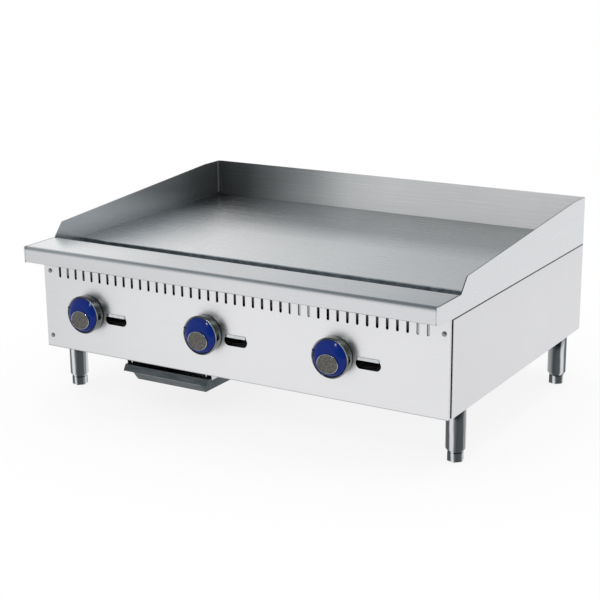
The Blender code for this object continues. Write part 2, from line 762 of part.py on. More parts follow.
def make_runners():
    """Folded runners under the bottom pan that carry the tray's flanges."""
    start = Y_PANEL + RUNNER_SETBACK
    top = Z_PAN - FIT
    ledge = Z_TRAY_TOP - TRAY_SHEET - FIT
    for side, sign, flange in (("left", -1, TRAY_LEFT_FLANGE), ("right", 1, TRAY_RIGHT_FLANGE)):
        web = TRAY_WIDTH / 2 + flange + SLIDE_PLAY
        reaches = [(web + RUNNER_TOP_FLANGE, top), (web, top), (web, ledge), (web - RUNNER_LEG, ledge)]
        path = [Vector((-TRAY_X - sign * reach, z)) for reach, z in reaches]
        if sign < 0:
            path.reverse()
        outline = sheet_outline(path, PANEL_SHEET)
        prism(f"tray_runner_{side}", outline, "Y", start, start + RUNNER_LENGTH, BRUSHED)


def make_legs():
    """Turned steel legs with a tapered lower end, and hexagonal screw feet."""
    leg_bottom = FOOT_HEIGHT + FIT
    leg_top = UNDERSIDE_HEIGHT - FIT
    bore = FOOT_STUD_RADIUS + FIT
    bore_top = FOOT_HEIGHT + FOOT_STUD_LENGTH + LEG_BORE_SPARE
    stud_top = Z_PAN_TOP + LEG_STUD_HEIGHT
    leg_profile = [
        (0, stud_top), (LEG_STUD_RADIUS, stud_top), (LEG_STUD_RADIUS, leg_top), (LEG_RADIUS, leg_top),
        (LEG_RADIUS, leg_bottom + LEG_TAPER_HEIGHT), (LEG_TAPER_RADIUS, leg_bottom), (bore, leg_bottom),
        (bore, bore_top), (0, bore_top)]

    def hexagon(work):
        middle = FOOT_HEIGHT / 2
        bmesh.ops.create_cone(
            work, cap_ends=True, segments=FOOT_SIDES, radius1=FOOT_RADIUS, radius2=FOOT_RADIUS,
            depth=FOOT_HEIGHT,
            matrix=Matrix.Translation((0, 0, middle)) @ Matrix.Rotation(FOOT_TURN, 4, "Z"))
        rim = [edge for edge in work.edges if all(vert.co.z < middle for vert in edge.verts)]
        bmesh.ops.bevel(work, geom=rim, offset=FOOT_CHAMFER, segments=1, affect="EDGES")

    for name, x, y in leg_places():
        turned(f"leg_{name}", leg_profile, POLISHED, (x, y, 0))
        foot = mesh_object(f"foot_{name}", hexagon, POLISHED, (x, y, 0))
        stud_span = ((x, y, FOOT_HEIGHT / 2), (x, y, FOOT_HEIGHT + FOOT_STUD_LENGTH))
        join(foot, rods(f"{name} foot stud", FOOT_STUD_RADIUS, [stud_span]))


def make_knobs():
    """Knobs: a bright cup, a blue grip that leans to one side and a satin cap that points the setting."""
    lip = KNOB_LIP_WIDTH / 2
    lip_middle = KNOB_RADIUS - lip
    inner = KNOB_RADIUS - KNOB_LIP_WIDTH
    bore = STEM_RADIUS + FIT
    shoulder = KNOB_LIP_REACH - lip
    floor = KNOB_STAND_OFF + KNOB_FLOOR
    arc = [
        (lip_middle + lip * math.cos(angle), shoulder + lip * math.sin(angle))
        for angle in (math.pi * (1 - step / (2 * ARC_STEPS)) for step in range(2 * ARC_STEPS + 1))]
    cup = arc + [(KNOB_BASE_RADIUS, KNOB_STAND_OFF), (bore, KNOB_STAND_OFF), (bore, floor), (inner, floor)]
    cap_start = GRIP_REACH + FIT
    cap_end = cap_start + CAP_THICKNESS
    cap_rings = [
        (0, CAP_RADIUS, CAP_WIDTH_RATIO, cap_start), (0, CAP_RADIUS, CAP_WIDTH_RATIO, cap_end - CAP_EDGE),
        (0, CAP_RADIUS - CAP_EDGE, CAP_WIDTH_RATIO, cap_end)]
    stem_front = floor + FIT + STEM_IN_GRIP
    stem_rear = VALVE_FRONT + VALVE_BORE_DEPTH - FIT

    def grip_rings():
        """Rings of the grip, from the cup's floor to the cap's seat."""
        start = inner - FIT
        yield 0, start, 1, floor + FIT
        steps = 2 * ARC_STEPS
        for step in range(steps + 1):
            share = step / steps
            bulge = 1 - (1 - share) ** GRIP_DOME
            yield (GRIP_END_DROP * share, start + (GRIP_END_RADIUS - start) * share,
                   1 + (CAP_WIDTH_RATIO - 1) * share, GRIP_SHOULDER + (GRIP_REACH - GRIP_SHOULDER) * bulge)

    def stem_bar(work):
        add_rod(work, STEM_RADIUS, (0, 0, -stem_rear), (0, 0, stem_front))

    def stem_flat(work):
        reach = 2 * STEM_RADIUS
        low = (-reach, STEM_RADIUS - STEM_FLAT_DEPTH, stem_front - STEM_FLAT_LENGTH)
        add_box(work, low, (reach, reach, stem_front + reach))

    for number, burner_x in enumerate(BURNER_XS, start=1):
        axis = (burner_x - BURNER_LEG_OFFSET, Y_PANEL, Z_KNOB)
        cap_axis = (axis[0], axis[1], axis[2] - GRIP_END_DROP)
        bore_end = (axis[0], axis[1] - stem_front - FIT, axis[2])
        turned(f"knob_skirt_{number}", cup, CHROME, axis, FACING_FRONT, closed=True)
        body = mesh_object(f"knob_grip_{number}", loft(grip_rings()), BLUE, axis, FACING_FRONT)
        cut(body, holes(f"grip {number} bore", bore, [(axis, bore_end)]))
        mesh_object(f"knob_cap_{number}", loft(cap_rings), SILVER, cap_axis, FACING_FRONT)
        stem = mesh_object(f"valve_stem_{number}", stem_bar, BRASS, axis, FACING_FRONT)
        cut(stem, mesh_object(f"stem {number} flat", stem_flat, None, axis, FACING_FRONT))


def make_gas_line():
    """Manifold across the front, supply pipe to the rear inlet, and the brackets that hold them."""
    left_end = BURNER_XS[0] - BURNER_LEG_OFFSET - MANIFOLD_OVERRUN
    right_end = SUPPLY_X - SUPPLY_BEND - SUPPLY_STRAIGHT
    plug_end = left_end - MANIFOLD_PLUG_LENGTH
    profile = [
        (0, right_end), (MANIFOLD_RADIUS, right_end), (MANIFOLD_RADIUS, left_end),
        (MANIFOLD_PLUG_RADIUS, left_end), (MANIFOLD_PLUG_RADIUS, plug_end), (0, plug_end)]
    turned("gas_manifold", profile, GALVANISED, (0, Y_MANIFOLD, Z_MANIFOLD), FACING_RIGHT, SMALL_STEPS)
    corner = [(right_end + FIT, Y_MANIFOLD), (SUPPLY_X, Y_MANIFOLD), (SUPPLY_X, Y_INLET)]
    route = [(x, y, Z_MANIFOLD) for x, y in rounded(corner, SUPPLY_BEND, 2 * ARC_STEPS)]
    pipe = tube("gas_supply_pipe", route, MANIFOLD_RADIUS, GALVANISED, 4)
    bore_ys = (Y_INLET - SUPPLY_BORE_DEPTH, Y_INLET + SUPPLY_BORE_DEPTH)
    cut(pipe, rods("inlet bore", SUPPLY_BORE_RADIUS, [[(SUPPLY_X, y, Z_MANIFOLD) for y in bore_ys]]))

    strap_y = Y_PANEL + BRACKET_STRAP_BEHIND_PANEL
    for side, x, width, height in (
            ("left", BURNER_XS[0] + BRACKET_LEFT_STEP, BRACKET_LEFT_WIDTH, BRACKET_LEFT_HEIGHT),
            ("right", BURNER_XS[-1] + BRACKET_RIGHT_STEP, BRACKET_RIGHT_WIDTH, BRACKET_RIGHT_HEIGHT)):
        base = Z_PAN_TOP + FIT
        arm = Z_MANIFOLD - MANIFOLD_RADIUS - FIT
        strap = [Vector(point) for point in (
            (strap_y + BRACKET_FOOT, base), (strap_y, base), (strap_y, base + height))]
        outline = sheet_outline(strap, BRACKET_SHEET)
        bracket = prism(
            f"manifold_bracket_{side}", outline, "X", x - width / 2, x + width / 2, GALVANISED)
        shelf = box(
            f"{side} bracket shelf", (x - width / 2, strap_y + BRACKET_SHEET / 2, arm - BRACKET_SHEET),
            (x + width / 2, Y_MANIFOLD + MANIFOLD_RADIUS, arm))
        join(bracket, shelf)


def make_valves():
    """Gas valves on the manifold, each with its orifice facing the burner's mixer."""
    spud = [
        (ORIFICE_HOLE_RADIUS, ORIFICE_LENGTH), (ORIFICE_RADIUS / 2, ORIFICE_LENGTH),
        (ORIFICE_RADIUS, ORIFICE_LENGTH / 2), (ORIFICE_RADIUS, 0), (ORIFICE_HOLE_RADIUS, 0)]
    for number, burner_x in enumerate(BURNER_XS, start=1):
        x = burner_x - BURNER_LEG_OFFSET
        rear = Y_VALVE + VALVE_LENGTH
        body_span = ((x, Y_VALVE, Z_KNOB), (x, rear, Z_KNOB))
        neck_span = ((x, Y_MANIFOLD, Z_MANIFOLD), (x, Y_MANIFOLD, Z_KNOB))
        bore_span = ((x, Y_PANEL, Z_KNOB), (x, Y_VALVE + VALVE_BORE_DEPTH, Z_KNOB))
        pipe_span = ((x - VALVE_LENGTH, Y_MANIFOLD, Z_MANIFOLD), (x + VALVE_LENGTH, Y_MANIFOLD, Z_MANIFOLD))
        valve = rods(f"gas_valve_{number}", VALVE_RADIUS, [body_span], BRASS)
        join(valve, rods(f"valve {number} neck", VALVE_NECK_RADIUS, [neck_span]))
        seat = holes(f"valve {number} seat", MANIFOLD_RADIUS + FIT, [pipe_span])
        bore = holes(f"valve {number} bore", STEM_RADIUS + FIT, [bore_span])
        cut(valve, seat, bore)
        turned(
            f"gas_orifice_{number}", spud, BRASS, (x, rear + FIT, Z_KNOB), FACING_REAR, SMALL_STEPS,
            closed=True)


def make_burners():
    """U-shaped burners with their mixers, pilots, support rails and the baffle before them."""
    turn_y = Y_REAR - BURNER_REAR_MARGIN - BURNER_RADIUS - BURNER_LEG_OFFSET
    turn_steps = 2 * ARC_STEPS
    turn_angles = [math.pi * step / turn_steps for step in range(turn_steps + 1)]
    mixer = [
        (BURNER_RADIUS - MIXER_WALL, MIXER_LENGTH / 4),
        (MIXER_THROAT_RADIUS - MIXER_WALL, MIXER_LENGTH / 2),
        (MIXER_BELL_RADIUS - MIXER_WALL, MIXER_LENGTH),
        (MIXER_BELL_RADIUS, MIXER_LENGTH),
        (MIXER_THROAT_RADIUS, MIXER_LENGTH / 2),
        (BURNER_RADIUS, MIXER_LENGTH / 4),
        (BURNER_RADIUS, 0),
        (BURNER_RADIUS - MIXER_WALL, 0)]
    for number, burner_x in enumerate(BURNER_XS, start=1):
        fed_x = burner_x - BURNER_LEG_OFFSET
        closed_x = burner_x + BURNER_LEG_OFFSET
        bend = [
            (burner_x - BURNER_LEG_OFFSET * math.cos(angle), turn_y + BURNER_LEG_OFFSET * math.sin(angle),
             Z_KNOB) for angle in turn_angles]
        route = [(fed_x, Y_BURNER, Z_KNOB)] + bend + [(closed_x, Y_BURNER, Z_KNOB)]
        tube(f"burner_{number}", route, BURNER_RADIUS, IRON, 3)
        turned(
            f"mixer_tube_{number}", mixer, IRON, (fed_x, Y_BURNER - FIT, Z_KNOB), FACING_FRONT,
            SMALL_STEPS, closed=True)
        make_pilot(number, burner_x + PILOT_OFFSET)

    bottom = Z_PAN_TOP + FIT
    half = HALF_WIDTH - SIDE_FLANGE - FIT
    baffle = box(
        "front_baffle", (-half, Y_BAFFLE, bottom),
        (half, Y_BAFFLE + PANEL_SHEET, Z_SEAM - PANEL_SHEET - FIT), GALVANISED)
    necks = through_holes(
        "baffle neck holes", BURNER_RADIUS + RUNNING_FIT, [x - BURNER_LEG_OFFSET for x in BURNER_XS],
        Y_BAFFLE, Z_KNOB)
    pilots = through_holes(
        "baffle pilot holes", PILOT_RADIUS + FIT, [x + PILOT_OFFSET for x in BURNER_XS], Y_BAFFLE, Z_KNOB)
    pipe = through_holes(
        "baffle pipe hole", MANIFOLD_RADIUS + RUNNING_FIT, [SUPPLY_X], Y_BAFFLE, Z_MANIFOLD)
    cut(baffle, necks, pilots, pipe)

    half_rail = BURNER_XS[-1] + BURNER_LEG_OFFSET + BURNER_RADIUS + RAIL_OVERHANG
    leg_xs = [x + offset for x in BURNER_XS for offset in (-BURNER_LEG_OFFSET, BURNER_LEG_OFFSET)]
    for end, y in (("front", Y_BURNER + RAIL_FRONT_SETBACK), ("rear", turn_y - RAIL_REAR_INSET)):
        angle = [Vector(point) for point in (
            (y + RAIL_FOOT, bottom), (y, bottom), (y, Z_KNOB - RAIL_SADDLE_DEPTH))]
        outline = sheet_outline(angle, BRACKET_SHEET)
        rail = prism(f"burner_rail_{end}", outline, "X", -half_rail, half_rail, GALVANISED)
        cut(rail, through_holes(f"{end} rail saddles", BURNER_RADIUS + FIT, leg_xs, y, Z_KNOB))


def make_pilot(number, x):
    """Pilot flame tip held by its flange on the baffle, and the small tube that feeds it."""
    seat = Y_BAFFLE - FIT
    profile = [
        (0, PILOT_NOSE), (PILOT_RADIUS / 2, PILOT_NOSE), (PILOT_RADIUS, PILOT_NOSE - PILOT_RADIUS),
        (PILOT_RADIUS, 0), (PILOT_FLANGE_RADIUS, 0), (PILOT_FLANGE_RADIUS, -PILOT_FLANGE),
        (PILOT_RADIUS, -PILOT_FLANGE), (PILOT_RADIUS, -PILOT_TAIL), (0, -PILOT_TAIL)]
    turned(f"pilot_burner_{number}", profile, BRASS, (x, seat, Z_KNOB), FACING_REAR, SMALL_STEPS)
    foot_z = Z_MANIFOLD + MANIFOLD_RADIUS + FIT
    corner = [(seat - PILOT_TAIL - FIT, Z_KNOB), (Y_MANIFOLD, Z_KNOB), (Y_MANIFOLD, foot_z)]
    route = [(x, y, z) for y, z in rounded(corner, PILOT_TUBE_BEND)]
    tube(f"pilot_tube_{number}", route, PILOT_TUBE_RADIUS, BRASS, 1)


def main():
    """Build the griddle from the body outwards."""
    make_side_panels()
    make_rear_panel()
    make_bottom_pan()
    make_front_panel()
    make_ledge()
    make_side_guards()
    make_rear_guard()
    make_plate()
    make_trough_and_chute()
    make_tray()
    make_runners()
    make_legs()
    make_knobs()
    make_gas_line()
    make_valves()
    make_burners()


main()
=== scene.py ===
"""Looks of a countertop gas griddle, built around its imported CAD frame.

Metres, +Z up. The cook stands at -Y, and X runs from left to right as the cook sees it.
"""

from __future__ import annotations

import json
import logging
import math
from dataclasses import dataclass, field, replace
from enum import Enum
from typing import Callable, Mapping, Sequence

import bmesh
import bpy
from mathutils import Matrix, Vector

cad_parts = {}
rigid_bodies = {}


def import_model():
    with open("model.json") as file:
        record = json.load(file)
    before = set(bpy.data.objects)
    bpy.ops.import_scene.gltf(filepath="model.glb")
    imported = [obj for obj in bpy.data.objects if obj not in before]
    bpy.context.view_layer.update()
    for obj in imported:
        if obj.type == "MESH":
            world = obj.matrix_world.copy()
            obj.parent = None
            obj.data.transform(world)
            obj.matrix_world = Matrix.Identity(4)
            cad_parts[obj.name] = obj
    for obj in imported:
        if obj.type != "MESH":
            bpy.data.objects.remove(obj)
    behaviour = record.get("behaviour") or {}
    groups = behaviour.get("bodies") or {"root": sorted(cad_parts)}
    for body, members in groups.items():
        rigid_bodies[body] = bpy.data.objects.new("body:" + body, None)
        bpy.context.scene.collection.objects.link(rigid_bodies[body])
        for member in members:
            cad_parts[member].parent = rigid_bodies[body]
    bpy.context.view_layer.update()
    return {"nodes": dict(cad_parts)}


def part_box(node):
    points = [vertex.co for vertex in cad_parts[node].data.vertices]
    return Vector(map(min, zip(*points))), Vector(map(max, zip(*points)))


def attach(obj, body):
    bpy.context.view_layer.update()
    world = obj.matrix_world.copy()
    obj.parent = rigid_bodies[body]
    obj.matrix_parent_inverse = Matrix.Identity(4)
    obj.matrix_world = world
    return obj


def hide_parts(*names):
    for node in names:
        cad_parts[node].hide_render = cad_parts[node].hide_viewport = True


LOG = logging.getLogger("griddle")
BODY = "body"
BURNERS = 3
# How far round the rear right leg's painted reflection streaks are turned past those of the others.
STREAK_TURN = math.radians(56.25)
SHARP_ANGLE = math.radians(32)
MERGE_DISTANCE = 1e-6
BEND_STEPS = 6
QUARTER_TURN = math.pi / 2
# Turns a piece's own +Z towards the cook.
TO_COOK = Matrix.Rotation(QUARTER_TURN, 4, "X")
GRAIN_LEAN = (0.011, 0.017, 0.013)
# Nearly all of a noise lies between these values.
NOISE_ENDS = (0.3, 0.7)
WHITE = (1.0, 1.0, 1.0, 1.0)

Colour = tuple[float, float, float]
Point2 = tuple[float, float]
Point3 = tuple[float, float, float]
Material = bpy.types.Material
Socket = bpy.types.NodeSocket
Mesh = bmesh.types.BMesh
Fill = Callable[[Mesh], None]


class Grain(Enum):
    """Direction in which a sheet was brushed."""

    ALONG_X = (1.0, 0.0, 0.0)
    ALONG_Y = (0.0, 1.0, 0.0)


class Slot(Enum):
    """Material slots of the record."""

    STAINLESS = "stainless"
    POLISHED = "polished_steel"
    CHROME = "knob_chrome"
    BLUE = "knob_blue"
    SILVER = "knob_silver"
    TRAY = "dark_tray"
    GALVANISED = "galvanised"
    IRON = "burner_iron"


@dataclass(frozen=True)
class Noise:
    """Features per metre of a noise, its number of finer layers, and a factor on each axis of the point."""

    scale: float
    detail: float
    stretch: Point3 = (1.0, 1.0, 1.0)


@dataclass(frozen=True)
class Relief:
    """Real height of a finish's relief, and the share of it that is used."""

    depth: float
    strength: float


class NodeBuilder:
    """Adds shader nodes to a tree and joins them up."""

    def __init__(self, tree: bpy.types.NodeTree) -> None:
        """Keep the tree of a material or a world to build in, and empty it."""
        self.tree = tree
        tree.nodes.clear()

    def feed(self, node: bpy.types.Node, values: Mapping[str | int, object]) -> None:
        """Set or join the inputs of a node.

        Args:
            node: Node to feed.
            values: Input socket, by name or number, to a value or to the output that feeds it.
        """
        for key, value in values.items():
            if isinstance(value, Socket):
                self.tree.links.new(value, node.inputs[key])
            else:
                node.inputs[key].default_value = value

    def add(
            self, kind: str, values: Mapping[str | int, object] | None = None,
            **settings: object) -> bpy.types.Node:
        """Add one node.

        Args:
            kind: Blender's name of the node type.
            values: Input socket, by name or number, to a value or to the output that feeds it.
            **settings: Properties of the node itself.

        Returns:
            The new node.
        """
        node = self.tree.nodes.new(kind)
        for name, value in settings.items():
            setattr(node, name, value)
        self.feed(node, values or {})
        return node

    def object_point(self) -> Socket:
        """Give the point on the piece in its own frame."""
        return self.add("ShaderNodeTexCoord").outputs["Object"]

    def turned_point(self, turn: float) -> Socket:
        """Give the point on the piece in a frame that is turned about its vertical axis."""
        values = {"Vector": self.object_point(), "Rotation": (0.0, 0.0, -turn)}
        return self.add("ShaderNodeMapping", values).outputs[0]

    def part(self, vector: Socket, axis: str) -> Socket:
        """Give the part of a vector that lies along an axis."""
        return self.add("ShaderNodeSeparateXYZ", {0: vector}).outputs[axis]

    def place(self, axis: str) -> Socket:
        """Give how far along an axis the point on the piece lies."""
        return self.part(self.object_point(), axis)

    def facing(self, axis: str, normal: str = "Normal") -> Socket:
        """Give how nearly the surface faces along an axis, by one of its normals."""
        return self.part(self.add("ShaderNodeNewGeometry").outputs[normal], axis)

    def calculate(self, operation: str, first: Socket, second: Socket | float = 0.0) -> Socket:
        """Work out a number from one or two others."""
        return self.add("ShaderNodeMath", {0: first, 1: second}, operation=operation).outputs[0]

    def map_range(
            self, value: Socket, start: float, end: float, low: float = 0.0, high: float = 1.0,
            kind: str = "LINEAR") -> Socket:
        """Map one range of numbers onto another.

        Args:
            value: Number to map.
            start: Value that becomes low.
            end: Value that becomes high.
            low: Result at the start and before it.
            high: Result at the end and after it.
            kind: Blender's name of the way between the two.

        Returns:
            Number output.
        """
        values = {0: value, 1: start, 2: end, 3: low, 4: high}
        return self.add("ShaderNodeMapRange", values, interpolation_type=kind).outputs[0]

    def mix(self, share: float, first: Socket, second: Socket) -> Socket:
        """Mix two numbers by the share of the second."""
        return self.add("ShaderNodeMix", {0: share, 2: first, 3: second}).outputs[0]

    def mix_colours(
            self, share: Socket | float, first: object, second: Socket, blend: str = "MIX") -> Socket:
        """Mix two colours by the share of the second."""
        values = {0: share, 6: first, 7: second}
        return self.add("ShaderNodeMix", values, data_type="RGBA", blend_type=blend).outputs[2]

    def scale(self, colour: Socket, factor: Socket | float) -> Socket:
        """Make a colour darker by a factor."""
        return self.add("ShaderNodeVectorMath", {0: colour, "Scale": factor}, operation="SCALE").outputs[0]

    def noise(self, look: Noise, point: Socket | None = None) -> Socket:
        """Add a noise.

        Args:
            look: Its scale, detail and stretch.
            point: Where it is read, if that isn't the plain point on the piece.

        Returns:
            Number output, about 0.5.
        """
        place = self.object_point() if point is None else point
        spread = self.add("ShaderNodeMapping", {"Vector": place, "Scale": look.stretch})
        values = {"Vector": spread.outputs[0], "Scale": look.scale, "Detail": look.detail}
        return self.add("ShaderNodeTexNoise", values).outputs["Fac"]

    def ramp(self, value: Socket, stops: Sequence[tuple[float, Colour]]) -> Socket:
        """Turn a value into a colour.

        Args:
            value: Number from 0 to 1.
            stops: Places on the ramp with their colours.

        Returns:
            Colour output.
        """
        node = self.add("ShaderNodeValToRGB", {"Fac": value})
        elements = node.color_ramp.elements
        while len(elements) < len(stops):
            elements.new(1.0)
        for element, (place, colour) in zip(elements, stops):
            element.position = place
            element.color = (*colour, 1.0)
        return node.outputs["Color"]

    def bump(self, height: Socket, relief: Relief) -> Socket:
        """Turn a height from 0 to 1 into a normal."""
        values = {"Height": height, "Distance": relief.depth, "Strength": relief.strength}
        return self.add("ShaderNodeBump", values).outputs["Normal"]


def shade(colour: Colour, factor: float) -> Colour:
    """Make a colour lighter or darker by a factor on each of its parts."""
    return tuple(min(part * factor, 1.0) for part in colour)


def two_tones(colour: Colour, ends: Point2, factors: Point2) -> list[tuple[float, Colour]]:
    """Give a ramp's two stops, at their places, as lighter or darker shades of a colour."""
    return [(end, shade(colour, factor)) for end, factor in zip(ends, factors)]


def new_material(name: str, colour: Colour) -> tuple[Material, NodeBuilder]:
    """Start a material.

    Args:
        name: Name of the finish.
        colour: Its plain colour in the viewport.

    Returns:
        The material, and the builder of its empty node tree.
    """
    made = bpy.data.materials.new(name)
    made.use_nodes = True
    made.diffuse_color = (*colour, 1.0)
    return made, NodeBuilder(made.node_tree)


@dataclass(frozen=True)
class Finish:
    """A procedural finish on a Principled shader."""

    name: str
    colour: Colour
    roughness: float = 0.3
    metallic: float = 1.0
    rough_play: Point2 = (-0.04, 0.04)
    relief: Relief = Relief(0.00004, 0.25)

    def material(self) -> Material:
        """Build the finish as a material.

        Returns:
            The new material.
        """
        made, nodes = new_material(self.name, self.colour)
        shader = nodes.add("ShaderNodeBsdfPrincipled", {"Metallic": self.metallic})
        nodes.add("ShaderNodeOutputMaterial", {"Surface": shader.outputs[0]})
        nodes.feed(shader, self.paint(nodes))
        return made

    def paint(self, nodes: NodeBuilder) -> dict[str, object]:
        """Give the shader's sockets with what feeds each; every finish has its own."""
        raise NotImplementedError

    def rough_range(self) -> Point2:
        """Give the least and the most roughness."""
        return self.roughness + self.rough_play[0], self.roughness + self.rough_play[1]

    def surface(
            self, nodes: NodeBuilder, colour: Socket, sheen: Socket,
            height: Socket | None = None) -> dict[str, object]:
        """Put a colour together with a roughness and a relief that follow noises.

        Args:
            nodes: Builder of the material's tree.
            colour: Colour of the finish.
            sheen: Noise that the roughness follows.
            height: Noise that the relief follows, where it isn't the same one.

        Returns:
            The shader's sockets with what feeds each.
        """
        return {
            "Base Color": colour,
            "Roughness": nodes.map_range(sheen, *NOISE_ENDS, *self.rough_range()),
            "Normal": nodes.bump(sheen if height is None else height, self.relief),
        }


@dataclass(frozen=True)
class PaintedShadeRamp:
    """Painted shade that darkens a sheet slowly along one axis, in place of the darker light and reflections
    that it shows there.
    """

    axis: str
    start: float
    end: float
    tones: tuple[Point2, ...]
    cast: Colour = (0.92, 1.0, 1.03)

    def colour(self, tone: float) -> Colour:
        """Give a tone its colour, which is the colder the darker it is."""
        return tuple(tone * (1 + (part - 1) * (1 - tone)) for part in self.cast)

    def apply(self, nodes: NodeBuilder, colour: Socket) -> Socket:
        """Paint shade on a colour along the axis.

        Args:
            nodes: Builder of the material's tree.
            colour: Colour to darken.

        Returns:
            Colour output.
        """
        share = nodes.map_range(nodes.place(self.axis), self.start, self.end)
        tint = nodes.ramp(share, [(at, self.colour(tone)) for at, tone in self.tones])
        return nodes.mix_colours(1.0, colour, tint, "MULTIPLY")


@dataclass(frozen=True)
class BrushedSheet(Finish):
    """Brushed stainless sheet with fine streaks along its grain and faint clouds."""

    grain: Grain = Grain.ALONG_X
    # Ramps of painted shade laid over the sheet's colour.
    painted_shades: tuple[PaintedShadeRamp, ...] = ()
    contrast: float = 0.035
    tone_ends: Point2 = NOISE_ENDS
    anisotropy: float = 0.55
    streaks: float = 900.0
    streak_detail: float = 3.0
    streak_stretch: float = 0.006
    clouds: Noise = Noise(5.0, 2.0)
    cloud_share: float = 0.3

    def streak_noise(self, nodes: NodeBuilder) -> Socket:
        """Add the streaks: a noise drawn out along the grain."""
        stretch = tuple(self.streak_stretch if part else 1.0 for part in self.grain.value)
        return nodes.noise(Noise(self.streaks, self.streak_detail, stretch))

    def paint(self, nodes: NodeBuilder) -> dict[str, object]:
        """Let streaks and clouds colour the sheet, and lay its painted light and shade over them.

        Args:
            nodes: Builder of the material's tree.

        Returns:
            The shader's sockets with what feeds each.
        """
        streaks = self.streak_noise(nodes)
        both = nodes.mix(self.cloud_share, streaks, nodes.noise(self.clouds))
        colour = self.paint_light_and_shade(nodes, self.grain_and_painted_shade(nodes, both))
        return self.brushed(nodes, colour, streaks)

    def grain_and_painted_shade(self, nodes: NodeBuilder, noise: Socket) -> Socket:
        """Let a noise and the ramps of painted shade vary the sheet's colour.

        Args:
            nodes: Builder of the material's tree.
            noise: Noise that makes it lighter and darker.

        Returns:
            Colour output.
        """
        factors = (1 - self.contrast, 1 + self.contrast)
        colour = nodes.ramp(noise, two_tones(self.colour, self.tone_ends, factors))
        for tint in self.painted_shades:
            colour = tint.apply(nodes, colour)
        return colour

    def brushed(self, nodes: NodeBuilder, colour: Socket, noise: Socket) -> dict[str, object]:
        """Add to the surface the gloss that brushing stretches across the grain.

        Args:
            nodes: Builder of the material's tree.
            colour: Colour of the sheet.
            noise: Noise that its roughness and relief follow.

        Returns:
            The shader's sockets with what feeds each.
        """
        across = {"Tangent": self.tangent(nodes), "Anisotropic": self.anisotropy}
        return self.surface(nodes, colour, noise) | across

    def paint_light_and_shade(self, nodes: NodeBuilder, colour: Socket) -> Socket:
        """Give the colour as it is; other sheets paint light and shade on some of their faces here."""
        return colour

    def tangent(self, nodes: NodeBuilder) -> Socket:
        """Give the direction across the grain, which leans a little so that no face stands square to it.

        Args:
            nodes: Builder of the material's tree.

        Returns:
            Direction output.
        """
        normal = nodes.add("ShaderNodeNewGeometry").outputs["Normal"]
        grain = tuple(part + lean for part, lean in zip(self.grain.value, GRAIN_LEAN))
        return nodes.add("ShaderNodeVectorMath", {0: normal, 1: grain}, operation="CROSS_PRODUCT").outputs[0]


@dataclass(frozen=True)
class TopShadedSheet(BrushedSheet):
    """Brushed splash guard with painted shade on its faces that look upwards, such as the cut edge along its
    top.
    """

    top_shade_tone: float = 0.22
    top_shade_turn: Point2 = (0.2, 0.6)

    def paint_light_and_shade(self, nodes: NodeBuilder, colour: Socket) -> Socket:
        """Paint shade on the faces that look upwards."""
        # Faces that look upwards are darkened as painted shade.
        tone = nodes.map_range(nodes.facing("Z"), *self.top_shade_turn, 1.0, self.top_shade_tone)
        return nodes.scale(colour, tone)


@dataclass(frozen=True)
class InnerShadedSheet(BrushedSheet):
    """Brushed splash guard with painted light and shade on its faces that look towards the plate."""

    inner_axis: str = "X"
    inner_sign: float = 1.0
    inner_turn: Point2 = (0.1, 0.3)
    # Painted light and shade for the faces towards the plate.
    inner_light_and_shade: PaintedShadeRamp = PaintedShadeRamp("X", 0.0, 1.0, ((0.0, 1.0),))
    outer_tone: float = 0.74

    def paint_light_and_shade(self, nodes: NodeBuilder, colour: Socket) -> Socket:
        """Paint light and shade on the faces that look towards the plate, and keep the others plain.

        Args:
            nodes: Builder of the material's tree.
            colour: Colour of the new sheet.

        Returns:
            Colour output.
        """
        inward = nodes.calculate("MULTIPLY", nodes.facing(self.inner_axis), self.inner_sign)
        inner = nodes.map_range(inward, *self.inner_turn)
        plain = nodes.scale(colour, self.outer_tone)
        return nodes.mix_colours(inner, plain, self.inner_light_and_shade.apply(nodes, colour))


@dataclass(frozen=True)
class PunchedSheet(BrushedSheet):
    """Brushed sheet with painted shade on the cut edges of its slots and windows, and a painted shade line
    along its lower fold.
    """

    # Colour of the painted shade on the cut edges, and how far from the middle the faces get it.
    cut_edge_shade: Colour = (0.018, 0.019, 0.020)
    cut_shade_reach: float = 0.447
    face_turn: Point2 = (0.3, 0.7)
    fold_shade: PaintedShadeRamp = PaintedShadeRamp("Z", 0.1022, 0.1042, ((0.0, 0.5), (1.0, 1.0)))

    def paint_light_and_shade(self, nodes: NodeBuilder, colour: Socket) -> Socket:
        """Paint shade on the cut edges and along the fold.

        Args:
            nodes: Builder of the material's tree.
            colour: Colour of the face.

        Returns:
            Colour output.
        """
        # Faces that don't look along Y get the painted shade, within the reach; the fold gets a painted
        # shade line.
        flat = nodes.calculate("ABSOLUTE", nodes.facing("Y", "True Normal"))
        front = nodes.map_range(flat, *self.face_turn)
        aside = nodes.calculate("ABSOLUTE", nodes.place("X"))
        end = nodes.calculate("GREATER_THAN", aside, self.cut_shade_reach)
        face = nodes.calculate("MAXIMUM", front, end)
        return self.fold_shade.apply(nodes, nodes.mix_colours(face, (*self.cut_edge_shade, 1.0), colour))


